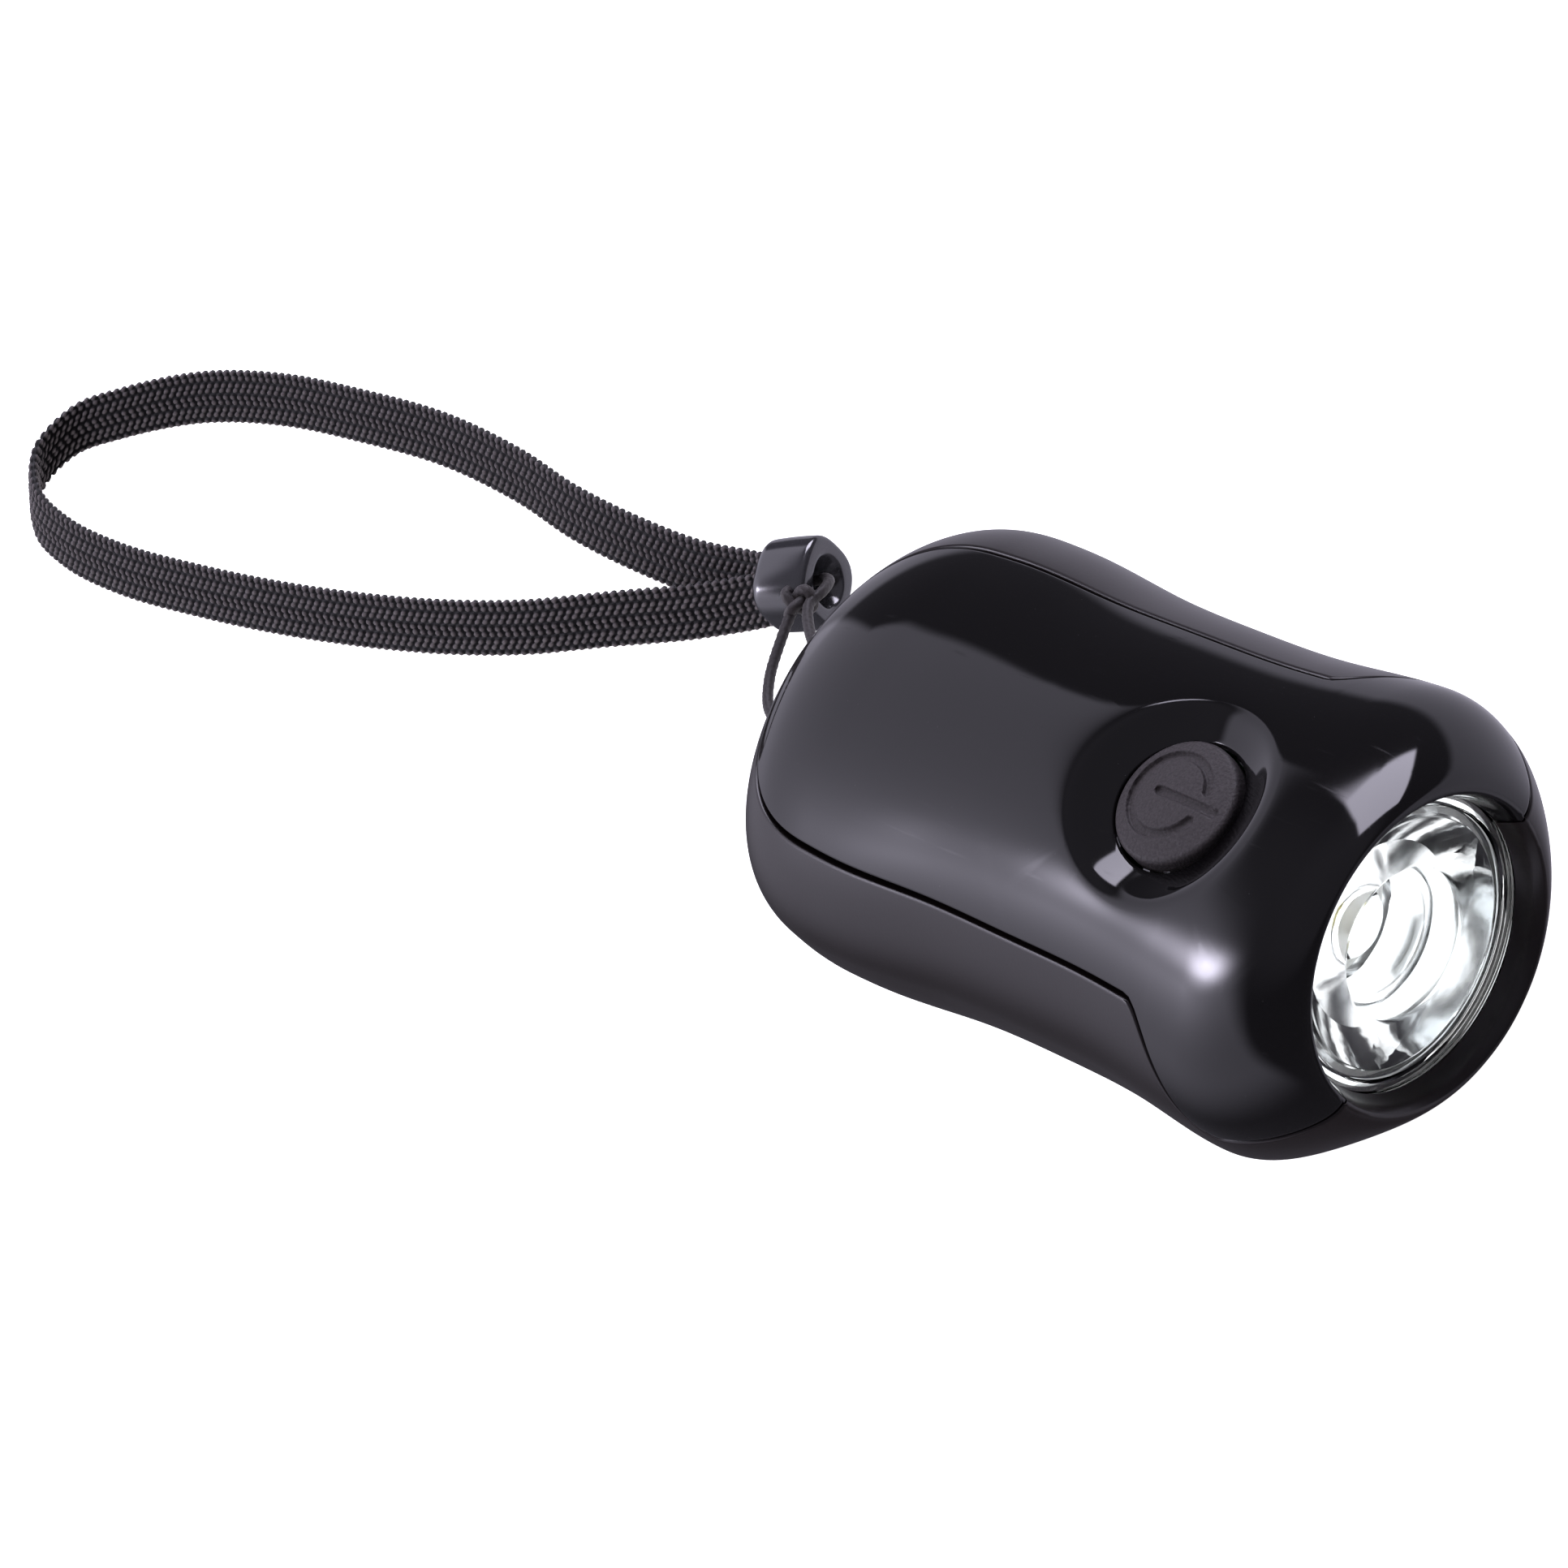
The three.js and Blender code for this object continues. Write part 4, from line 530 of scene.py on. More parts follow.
def rear_tip(shift):
    """Where the parting line crosses the crown at the rear, found on a fine row of places."""
    x = np.linspace(0, REAR_ROUNDING, 20001)
    top = LENS_HEIGHT + section(x)[1]
    return np.interp(0, top - parting(x) - shift, x)


def front_rings(angle):
    """The bezel's inside: circles through the mouth's profile at the given angles."""
    profile = np.array(MOUTH_PROFILE)
    radius, x = profile[:, :1], profile[:, 1:]
    y, z = radius * np.cos(angle), LENS_HEIGHT + radius * np.sin(angle)
    return np.stack(np.broadcast_arrays(x, y, z), -1)


# Radius and place of the bezel's inside: rolled rim, flared mouth, lip, groove and bore.
LIP_X = BODY_LENGTH - LIP_LENGTH
GROOVE_X = LIP_X - GROOVE_LENGTH
SEAT_X = BODY_LENGTH - SEAT_WALL_LENGTH
MOUTH_PROFILE = [
    (RIM_RADIUS - 0.1, BODY_LENGTH + 0.03), (MOUTH_RADIUS + 0.15, BODY_LENGTH + 0.02),
    (MOUTH_RADIUS, BODY_LENGTH - 0.08), (FLARE_RADIUS, BODY_LENGTH - FLARE_LENGTH),
    (LIP_RADIUS + 0.08, LIP_X + 0.1),
    (LIP_RADIUS, LIP_X), (GROOVE_RADIUS, LIP_X - 0.01), (GROOVE_RADIUS, GROOVE_X),
    (SEAT_BORE_RADIUS, GROOVE_X), (SEAT_BORE_RADIUS, SEAT_X),
]


def front_angles(columns, shift, upper):
    """Angles of the bezel's rows from the far seam to the near one over the top, or the other way
    round below, as many as the shell has columns."""
    radius = np.array(MOUTH_PROFILE)[:, :1]
    low = np.arcsin((PARTING_FRONT + shift - LENS_HEIGHT) / radius)
    share = np.linspace(0, 1, columns)
    return np.pi - low - (np.pi - 2 * low) * share if upper else low - (np.pi + 2 * low) * share


def shell(name, outer, inner, front, open_rows, keep):
    """A closed shell from an outer grid, the bezel's rows and an inner grid. They meet at the
    bezel, along both seams from the first open row on, and round the hole."""
    inner[0], outer[0] = inner[0, 0], outer[0, 0]
    rows, columns = outer.shape[:2]
    last = int(np.searchsorted(outer[:, 0, 0], SEAT_X))
    outside = np.arange(rows * columns).reshape(rows, columns)
    mouth = rows * columns + np.arange(front.shape[0] * columns).reshape(-1, columns)
    inside = mouth[-1, -1] + 1 + np.arange(last * columns).reshape(last, columns)
    faces = [f for f, kept in zip(grid_faces(outside), keep.ravel()) if kept]
    faces += grid_faces(np.vstack([outside[-1:], mouth, inside[-1:]]))
    faces += [f[::-1] for f, kept in zip(grid_faces(inside), keep[:last - 1].ravel()) if kept]
    for column in (0, -1):
        pair = np.column_stack([inside[open_rows:, column], outside[open_rows:last, column]])
        end = [inside[-1:, column], outside[last - 1:, column], mouth[:, column]]
        side = grid_faces(pair) + [np.concatenate(end)[::-1].tolist()]
        faces += side if column == 0 else [f[::-1] for f in side]
    rim = keep[:last - 1]
    padded = np.pad(rim, 1, constant_values=True)
    for i, j in np.argwhere(~rim):
        corners = [(i, j), (i + 1, j), (i + 1, j + 1), (i, j + 1)]
        beside = [padded[i + 1, j], padded[i + 2, j + 1], padded[i + 1, j + 2], padded[i, j + 1]]
        for k, open_side in enumerate(beside):
            if open_side:
                a, b = corners[k], corners[(k + 1) % 4]
                faces.append([outside[a], outside[b], inside[b], inside[a]])
    points = np.vstack([outer.reshape(-1, 3), front.reshape(-1, 3), inner[:last].reshape(-1, 3)])
    return make(name, placed(points), faces, sharp=35)


# Top shell: glossy black ABS, polished in the mould, with a steep round dimple for the button.
# It takes faint dust and hairline scratches, and holds sharp reflections of the lamps.
WALL = 1.8
SEAM_GAP, SEAM_ROLL = 0.3, 0.3
BUTTON_X, BUTTON_HOLE = 63.8, 7.2
DIMPLE_RADIUS, DIMPLE_DEPTH, DIMPLE_ROLL = 11.1, 4.2, 0.5
# The grid's own values: how far its close rows reach, where its squares turn into circles, and
# the powers by which its other rows and columns stand closer towards one end.
BOWL_REACH, DENSE_REACH = 12.3, 15
SQUARE_FROM, SQUARE_OVER = 12.2, 2.6
SIDE_REACH_SHARE = 0.8
BELOW_AXIS_BEND = 2.5
REAR_SPREAD, SIDE_SPREAD = 1.7, 1.5


def dense_offsets():
    """Distances from the button's middle: few inside its hole, close together over the dimple."""
    return np.concatenate([
        np.linspace(0, BUTTON_HOLE, 8, endpoint=False),
        BUTTON_HOLE + SEAM_ROLL * (1 - np.cos(np.linspace(0, np.pi / 2, 4, endpoint=False))),
        np.linspace(BUTTON_HOLE + SEAM_ROLL, BOWL_REACH, 18, endpoint=False),
        np.linspace(BOWL_REACH, DENSE_REACH, 7),
    ])


def top_skin():
    """The top shell's outer grid. Its rows and columns stand close together round the button and
    bend from squares into circles there, and beyond them the columns share the arc to the seam."""
    shift = SEAM_GAP / 2
    near = dense_offsets()
    dense = np.concatenate([-near[:0:-1], near])
    tip = rear_tip(shift)
    rear = tip + (BUTTON_X - DENSE_REACH - tip) * np.linspace(0, 1, 90, endpoint=False) ** REAR_SPREAD
    nose_start = np.arccos(1 - (BODY_LENGTH - BUTTON_X - DENSE_REACH) / SHOULDER_ROUNDING)
    nose = BODY_LENGTH - SHOULDER_ROUNDING * (1 - np.cos(np.linspace(nose_start, 0, 46)[1:]))
    x = np.concatenate([rear, BUTTON_X + dense, nose])[:, None]
    half, _, _, crown, _ = section(x)
    seam = seam_angle(x, shift)
    seam_y = half * np.cos(seam) ** (2 / np.where(seam < 0, BELOW_AXIS_BEND, crown))
    reach = np.minimum(SIDE_REACH_SHARE * seam_y, DENSE_REACH)
    u = x - BUTTON_X + 0 * dense
    v = dense * reach / DENSE_REACH
    square, circle = np.maximum(np.abs(u), np.abs(v)), np.hypot(u, v)
    share = 1 - smooth((square - SQUARE_FROM) / SQUARE_OVER)
    pull = 1 + share * (square / np.maximum(circle, 1e-9) - 1)
    inner_x, inner_y = BUTTON_X + u * pull, v * pull
    half, _, _, crown, _ = section(inner_x)
    share_y = np.clip(np.abs(inner_y) / np.maximum(half, 1e-9), 0, 1)
    inner_angle = np.arccos(np.clip(share_y ** (crown / 2), 0, 1))
    inner_angle = np.where(inner_y > 0, inner_angle, np.pi - inner_angle)[:, ::-1]
    inner_x = inner_x[:, ::-1]
    outward = np.linspace(0, 1, 44, endpoint=False) ** SIDE_SPREAD
    right = seam + (inner_angle[:, :1] - seam) * outward
    left = (np.pi - seam) + (inner_angle[:, -1:] - np.pi + seam) * outward[::-1]
    angle = np.hstack([right, inner_angle, left])
    side_x = x + 0 * right
    return np.hstack([side_x, inner_x, side_x])[:, ::-1], angle[:, ::-1]


def dimpled(points, rim_roll):
    """The skin with the button's bowl: the depth of a round cap, eased into it by a rolled rim."""
    radius = np.hypot(points[..., 0] - BUTTON_X, points[..., 1])
    depth = DIMPLE_DEPTH * (1 - (radius / DIMPLE_RADIUS) ** 2)
    fall = (depth + np.sqrt(depth**2 + rim_roll**2)) / 2 * (radius < 2 * DIMPLE_RADIUS)
    return points - fall[..., None] * np.array([0, 0, 1]), radius


REAR_SLOPE = (-0.8, 0, 0.6)
x, angle = top_skin()
skin_points, radius = dimpled(outline(x, angle), DIMPLE_ROLL)
normals = skin_normals(skin_points, 1, REAR_SLOPE)
distance = seam_distance(skin_points, normals, SEAM_GAP / 2)
hole_roll = rolled(radius - BUTTON_HOLE, SEAM_ROLL) * (radius > BUTTON_HOLE - 0.01)
roll = rolled(distance, SEAM_ROLL) + hole_roll
soft_points, _ = dimpled(outline(x, angle), 4 * DIMPLE_ROLL)
inner_points = soft_points - WALL * skin_normals(soft_points, 1, REAR_SLOPE)
centre = (radius[1:, 1:] + radius[:-1, :-1] + radius[1:, :-1] + radius[:-1, 1:]) / 4
bezel = front_rings(front_angles(x.shape[1], SEAM_GAP / 2, True))
skin_points -= roll[..., None] * normals
top_shell = shell("top_shell_skin", skin_points, inner_points, bezel, 0, centre > BUTTON_HOLE)

# ABS polished in the mould: a deep black mirror, dulled only by dust specks, one in each cell
# of 1.6 mm, and by hairline scratches up to 9 mm long.
DUST, SCRATCH = 1.6, 9
glossy_abs, tree, shader = new_material("piano_black_abs", {"IOR": 1.53})
place = add(tree, "TexCoord", {}).outputs["Object"]
dust = add(tree, "TexVoronoi", {"Vector": place, "Scale": 1 / (DUST * MM)})
speck = add(tree, "MapRange", {"Value": dust.outputs["Distance"], "From Min": 0.035, "From Max": 0.02})
streak_place = add(tree, "Mapping", {
    "Vector": place, "Rotation": (0.3, 0.2, 0.6), "Scale": (1, 14, 14),
})
streak = add(tree, "TexNoise", {
    "Vector": streak_place.outputs["Vector"], "Scale": 1 / (SCRATCH * MM), "Detail": 1,
})
hairline = add(tree, "MapRange", {"Value": streak.outputs["Fac"], "From Min": 0.68, "From Max": 0.8})
marks = add(tree, "Math", {
    0: speck.outputs["Result"], 1: hairline.outputs["Result"],
}, operation="MAXIMUM")
gloss = add(tree, "MapRange", {"Value": marks.outputs["Value"], "To Min": 0.06, "To Max": 0.16})
shade = add(tree, "Mix", {
    FACTOR: speck.outputs["Result"], COLOR_A: srgb("#070607"), COLOR_B: srgb("#3a3a3c"),
}, data_type="RGBA")
feed(shader, {"Roughness": gloss.outputs["Result"], "Base Color": shade.outputs[COLOR_OUT]})
dress(top_shell, glossy_abs, "torch", "glossy_black_abs", "top_shell")

# Bottom shell: satin black ABS with a level base. It holds the crank's round well, four sunk
# case screws and, in its rear, the pocket that the thin cord loops into.
CRANK_X, WELL_RADIUS, WELL_TOP, WELL_WALL = 27, 14.8, 10.7, 1.4
SCREW_PLACES = [(9, 9.5), (9, -9.5), (55, 15), (55, -15)]
SCREW_HEAD_HOLE, SCREW_SEAT = 2.6, 6
BOSS_RADIUS, BOSS_LOW, BOSS_TOP = 3.1, 1.77, 11
POCKET_DEPTH, POCKET_WIDTH, POCKET_LOW, POCKET_HIGH = 6.4, 8, 8.5, 15.5
POCKET_BLOCK = ((2.4, -5.6, 6.9), (8, 5.6, 17.1))
OVERRUN, DEEP_OVERRUN = 3, 4
HOLE_FLARE, WELL_FLARE = 0.2, 0.35
BASE_ROLL, BASE_SINK, LEAST_BASE_TURN = 0.35, 0.02, 0.12
POLE_SPREAD, SEAM_SPREAD = 2.4, 1.4


def bottom_skin():
    """The bottom shell's outer grid: rows close together at the rear pole and where the seam
    starts, columns from one seam round the belly to the other, with one on each base edge."""
    shift = -SEAM_GAP / 2
    tip = rear_tip(shift)
    pole = tip * np.linspace(0, 1, 40, endpoint=False) ** POLE_SPREAD
    middle = SHOULDER_ROUNDING * 4
    rear = tip + (middle - tip) * np.linspace(0, 1, 80, endpoint=False) ** REAR_SPREAD
    drop_zone = np.linspace(middle, BODY_LENGTH - SHOULDER_ROUNDING, 42, endpoint=False)
    nose = BODY_LENGTH - SHOULDER_ROUNDING * (1 - np.cos(np.linspace(np.pi / 2, 0, 54)))
    x = np.concatenate([pole, rear, drop_zone, nose])[:, None]
    _, _, drop, _, belly = section(x)
    seam = seam_angle(x, shift)
    seam[:len(pole) + 1] = np.pi / 2
    share = np.clip((LENS_HEIGHT - BASE_SINK) / np.maximum(drop, 1e-9), 0, 1)
    base = -np.minimum(np.arcsin(share ** (belly / 2)), np.pi / 2 - LEAST_BASE_TURN)
    near = seam + (base - seam) * np.linspace(0, 1, 66, endpoint=False) ** SEAM_SPREAD
    floor = base + (-np.pi / 2 - base) * np.linspace(0, 1, 10)
    right = np.hstack([near, floor])
    angle = np.hstack([right, (-np.pi - right)[:, -2::-1]])
    return x + 0 * angle, angle, len(pole)


x, angle, first_open = bottom_skin()
skin_points = outline(x, angle)
skin_points[0] = (0, 0, LENS_HEIGHT)
inner_points = skin_points - WALL * skin_normals(skin_points, first_open + 1, (-1, 0, 0))
inner_points[..., 2] = np.maximum(inner_points[..., 2], WALL)
z = skin_points[..., 2]
skin_points[..., 2] = (z + np.sqrt(z**2 + BASE_ROLL**2)) / 2
normals = skin_normals(skin_points, first_open + 1, (-1, 0, 0))
distance = seam_distance(skin_points, normals, -SEAM_GAP / 2)
roll = rolled(distance, SEAM_ROLL) * (np.arange(len(x)) >= first_open)[:, None]
bezel = front_rings(front_angles(x.shape[1], -SEAM_GAP / 2, False))
keep = np.ones((x.shape[0] - 1, x.shape[1] - 1), bool)
skin_points -= roll[..., None] * normals
bottom_shell = shell("bottom_shell_skin", skin_points, inner_points, bezel, first_open, keep)


def turned(name, profile, middle, sides=96, bored=False):
    """A turned solid: a profile of radius and height carried round an upright axis. The profile
    of a bored one closes on itself."""
    profile = np.asarray(profile, float)
    angle = -np.linspace(0, 2 * np.pi, sides, endpoint=False)
    x, y = profile[:, :1] * np.cos(angle), profile[:, :1] * np.sin(angle)
    rings = np.stack(np.broadcast_arrays(middle[0] + x, middle[1] + y, profile[:, 1:]), -1)
    return make(name, placed(rings), wrapped(rings, bored))


def box(name, low, high, radius, edge=0):
    """A block whose upright edges are quarter circles of one radius, and whose level edges are
    rolled by another: each ring is set in by the edge less the edge times a sine."""
    low, high = np.array(low, float), np.array(high, float)
    half, middle = (high - low) / 2, (high + low) / 2
    roll = np.linspace(0, np.pi / 2, 6 if edge else 1)
    inset, rise = edge * (1 - np.sin(roll)), edge * (1 - np.cos(roll))
    inset = np.append(inset, inset[::-1])[:, None]
    z = np.append(low[2] + rise, high[2] - rise[::-1])[:, None]
    angle = -np.linspace(0, 2 * np.pi, 64, endpoint=False)
    c, s = np.cos(angle), np.sin(angle)
    x = middle[0] + np.clip(2 * c, -1, 1) * (half[0] - radius) + (radius - inset) * c
    y = middle[1] + np.clip(2 * s, -1, 1) * (half[1] - radius) + (radius - inset) * s
    rings = np.stack(np.broadcast_arrays(x, y, z), -1)
    return make(name, placed(rings), wrapped(rings))


def carve(body, tools, operation):
    """Joins or cuts a piece with solids by exact Boolean steps, and keeps the result as mesh."""
    for tool in tools:
        step = body.modifiers.new("carve", "BOOLEAN")
        step.operation, step.solver, step.object = operation, "EXACT", tool
    evaluated = body.evaluated_get(bpy.context.evaluated_depsgraph_get())
    mesh = bpy.data.meshes.new_from_object(evaluated)
    body.modifiers.clear()
    body.data = mesh
    work = bmesh.new()
    work.from_mesh(mesh)
    bmesh.ops.remove_doubles(work, verts=work.verts, dist=2e-6)
    work.to_mesh(mesh)
    work.free()
    for tool in tools:
        bpy.data.objects.remove(tool)
    mesh.shade_smooth()
    mesh.set_sharp_from_angle(angle=np.radians(35))


def peg(radius, low, high):
    """Profile of a plain round peg."""
    return [(0, low), (radius, low), (radius, high), (0, high)]


def cup(radius, low, high, flare):
    """Profile of a cutter whose mouth flares over the surface at height 0."""
    wide = radius + flare
    return [(0, low), (wide, low), (wide, 0), (radius, flare), (radius, high), (0, high)]


well_wall = peg(WELL_RADIUS + WELL_WALL, WALL / 2, WELL_TOP)
boss = peg(BOSS_RADIUS, BOSS_LOW, BOSS_TOP)
carve(bottom_shell, [
    turned("well wall", well_wall, (CRANK_X, 0)),
    *[turned("boss", boss, spot, 48) for spot in SCREW_PLACES],
    box("pocket block", *POCKET_BLOCK, 0.5),
], "UNION")
well = cup(WELL_RADIUS, -OVERRUN, WELL_TOP + OVERRUN, WELL_FLARE)
screw_hole = cup(SCREW_HEAD_HOLE, -DEEP_OVERRUN, SCREW_SEAT, HOLE_FLARE)
pocket_low = (-DEEP_OVERRUN, -POCKET_WIDTH / 2, POCKET_LOW)
carve(bottom_shell, [
    turned("well", well, (CRANK_X, 0), 128),
    *[turned("screw hole", screw_hole, spot, 48) for spot in SCREW_PLACES],
    box("pocket", pocket_low, (POCKET_DEPTH, POCKET_WIDTH / 2, POCKET_HIGH), 1),
], "DIFFERENCE")
# Satin black ABS: a fine spark-eroded grain that turns the lamps into soft wide highlights.
bottom_abs = grained_moulding("satin_black_abs", "#140e0f", 0.3)
dress(bottom_shell, bottom_abs, "torch", "satin_black_abs", "bottom_shell")

# Power button: moulded silicone with a fine matt grain, its edge rounded and its top slightly
# domed. The on-off sign is a groove pressed into it: a broken ring and a bar through the gap.
BUTTON_RADIUS, BUTTON_CROWN, BUTTON_DOME, BUTTON_EDGE = 6.9, 33.5, 0.5, 0.6
SKIRT_LOW, SKIRT_BAND = 28.6, 1
SIGN_RADIUS, SIGN_WIDTH, SIGN_DEPTH, SIGN_GAP = 4.4, 1.1, 0.4, 1.7
SIGN_PLACE, SIGN_BAR, SIGN_FLAT = (-0.9, 0.3), (-1.3, 6.2), 1.8


def sign_depth(u, v):
    """Depth of the sign's groove over a ring with a gap towards the lamp and a bar through the
    gap: one less the square of the distance from their middle lines, eased to a flat floor."""
    u, v = u - SIGN_PLACE[0], v - SIGN_PLACE[1]
    ring = np.abs(np.hypot(u, v) - SIGN_RADIUS)
    in_gap = (np.abs(v) < SIGN_GAP) & (u > 0)
    end_v = np.copysign(SIGN_GAP, v)
    end_u = np.sqrt(SIGN_RADIUS**2 - SIGN_GAP**2)
    ring = np.where(in_gap, np.hypot(u - end_u, v - end_v), ring)
    bar = np.hypot(u - np.clip(u, *SIGN_BAR), v)
    share = np.clip(1 - (2 * np.minimum(ring, bar) / SIGN_WIDTH) ** 2, 0, 1)
    return SIGN_DEPTH * smooth(share * SIGN_FLAT)


def button_rings():
    """The button from its hidden skirt up its side, over a rounded edge and in to the middle of
    the domed top, as rings of radius and height."""
    turn = np.linspace(0, np.pi / 2, 8)
    flat, shoulder = BUTTON_RADIUS - BUTTON_EDGE, BUTTON_CROWN - BUTTON_DOME - BUTTON_EDGE
    side = [(0.001, SKIRT_LOW), (BUTTON_RADIUS, SKIRT_LOW), (BUTTON_RADIUS, shoulder - SKIRT_BAND)]
    edge = np.column_stack([
        BUTTON_RADIUS - BUTTON_EDGE * (1 - np.cos(turn)), shoulder + BUTTON_EDGE * np.sin(turn),
    ])
    inner = np.linspace(flat, 0, 72)[1:]
    dome = np.column_stack([inner, BUTTON_CROWN - BUTTON_DOME * (inner / flat) ** 2])
    radius, height = np.vstack([side, edge, dome]).T[:, :, None]
    angle = np.linspace(0, 2 * np.pi, 192, endpoint=False)
    u, v = radius * np.cos(angle), radius * np.sin(angle)
    on_dome = np.arange(len(radius))[:, None] >= len(side) + len(edge)
    z = height - sign_depth(u, v) * on_dome
    return np.stack([BUTTON_X + u, v, z + 0 * u], -1)


button_points = button_rings()
button = make("button_cap", placed(button_points[:, ::-1]), wrapped(button_points), sharp=60)
# Moulded silicone: dark grey and matt, because its grain scatters the light. The real grain
# is about half as coarse and would not show.
SILICONE_GRAIN, SILICONE_RISE = 0.28, 0.1
silicone, tree, shader = new_material("moulded_silicone", {"Roughness": 0.55, "IOR": 1.43})
place = add(tree, "TexCoord", {}).outputs["Object"]
grain = add(tree, "TexNoise", {"Vector": place, "Scale": 1 / (SILICONE_GRAIN * MM), "Detail": 2})
shade = add(tree, "Mix", {
    FACTOR: grain.outputs["Fac"], COLOR_A: srgb("#232021"), COLOR_B: srgb("#4a4547"),
}, data_type="RGBA")
rise = add(tree, "Bump", {
    "Strength": 0.9, "Distance": SILICONE_RISE * MM, "Height": grain.outputs["Fac"],
})
feed(shader, {"Base Color": shade.outputs[COLOR_OUT], "Normal": rise.outputs["Normal"]})
dress(button, silicone, "button", "soft_rubber", "power_button")

# Crank: a turned disc of the same satin ABS in the base, with a slot for the folding lever and
# a pocket for its knob. The lever swings on a steel pin, and the knob turns on a steel rivet.
DISC_RADIUS, DISC_LOW, DISC_HIGH, DISC_EDGE = 14.4, 0.6, 10.6, 0.4
SLOT_HALF, SLOT_TOP, SLOT_REACH = 3.9, 4.0, 18
KNOB_POCKET = ((14.8, -3.7, -3.5), (23.4, 3.7, 9.4))
SOCKET_RADIUS, SOCKET_LOW, SOCKET_TOP = 2.3, 5.6, 14
HINGE_X, HINGE_Z, PIN_HOLE, PIN_HALF = 35.2, 2.0, 1.1, 6.3
LEVER_BOX = ((15.7, -3.5, 0.6), (36.8, 3.5, 3.6))
LEVER_ROUND, LEVER_EDGE, LEVER_CUT_HALF = 3.3, 0.4, 5
KNOB_X, KNOB_LOW, KNOB_HIGH = 19.7, 3.9, 8.9
KNOB_RADIUS, KNOB_WAVE, KNOB_EDGE = 3.05, 0.25, 0.25
RIVET_HOLE, RIVET_SINK, SINK_TOP, SINK_LOW = 1.3, 2.2, 1.7, 7.8


def across(name, radius, half):
    """A rod across the body at the lever's hinge: circles about a line that runs side to side."""
    angle = np.linspace(0, 2 * np.pi, 32, endpoint=False)
    rings = np.stack(np.broadcast_arrays(
        HINGE_X + radius * np.cos(angle), np.array([[-half], [half]]), HINGE_Z + radius * np.sin(angle),
    ), -1)
    return make(name, placed(rings), wrapped(rings))


disc_profile = [
    (0, DISC_LOW), (DISC_RADIUS - 0.6, DISC_LOW), (DISC_RADIUS - 0.2, DISC_LOW + 0.12),
    (DISC_RADIUS, DISC_LOW + 0.5), (DISC_RADIUS, DISC_HIGH - DISC_EDGE),
    (DISC_RADIUS - DISC_EDGE, DISC_HIGH), (0, DISC_HIGH),
]
slot_low, slot_high = (CRANK_X - SLOT_REACH, -SLOT_HALF, -3), (CRANK_X + SLOT_REACH, SLOT_HALF, SLOT_TOP)
disc = turned("crank_disc", disc_profile, (CRANK_X, 0), 144)
carve(disc, [
    box("slot", slot_low, slot_high, 0.3),
    box("knob pocket", *KNOB_POCKET, 1.2),
    across("pin hole", PIN_HOLE, PIN_HALF),
    turned("shaft socket", peg(SOCKET_RADIUS, SOCKET_LOW, SOCKET_TOP), (CRANK_X, 0), 48),
], "DIFFERENCE")
dress(disc, bottom_abs, "crank", "satin_black_abs", "crank_drum")

rivet_hole = [
    (0, -1), (RIVET_SINK, -1), (RIVET_SINK, SINK_TOP), (RIVET_HOLE, SINK_TOP), (RIVET_HOLE, 6), (0, 6),
]
lever = box("crank_lever", *LEVER_BOX, LEVER_ROUND, LEVER_EDGE)
carve(lever, [
    across("pin hole", PIN_HOLE, LEVER_CUT_HALF), turned("rivet hole", rivet_hole, (KNOB_X, 0), 48),
], "DIFFERENCE")
dress(lever, bottom_abs, "arm", "satin_black_abs", "crank_arm")

# The knob's side waves in and out twice, as a cosine of its height.
waist = np.linspace(0, 1, 25)
knob_side = np.column_stack([
    KNOB_RADIUS + KNOB_WAVE * np.cos(4 * np.pi * waist),
    KNOB_LOW + KNOB_EDGE + (KNOB_HIGH - KNOB_LOW - 2 * KNOB_EDGE) * waist,
])
knob_top = [
    (KNOB_RADIUS, KNOB_HIGH), (RIVET_SINK, KNOB_HIGH), (RIVET_SINK, SINK_LOW), (RIVET_HOLE, SINK_LOW),
]
knob_profile = np.vstack([[(RIVET_HOLE, KNOB_LOW), (KNOB_RADIUS, KNOB_LOW)], knob_side, knob_top])
knob = turned("crank_grip", knob_profile, (KNOB_X, 0), 64, bored=True)
dress(knob, bottom_abs, "knob", "satin_black_abs", "crank_knob")

# Steel fasteners: zinc-plated case screws with a domed head and a cross recess, sunk in the
# base to pull the shells together, and the headed rivet that the crank's knob turns on.
# The profiles hold radius and height, from the head in the base up to the thread's end.
SCREW_PROFILE = [
    (0, 4.0), (1.2, 4.05), (2.0, 4.35), (2.3, 4.8), (2.3, 5.7), (1.25, 5.7), (1.25, 17.5),
    (0.3, 19.7), (0, 19.7),
]
RIVET_PROFILE = [
    (0, 0.6), (1.5, 0.62), (1.85, 0.72), (1.9, 0.85), (1.9, 1.4), (1, 1.4), (1, 8.1), (1.9, 8.1),
    (1.9, 8.65), (1.85, 8.8), (1.5, 8.88), (0, 8.9),
]
RECESS_REACH, RECESS_HALF, RECESS_CORNER = 1.3, 0.28, 0.1
RECESS_HEIGHTS = [(3, 5.1), (3.1, 5.15)]
TOOL_RISE = 0.01


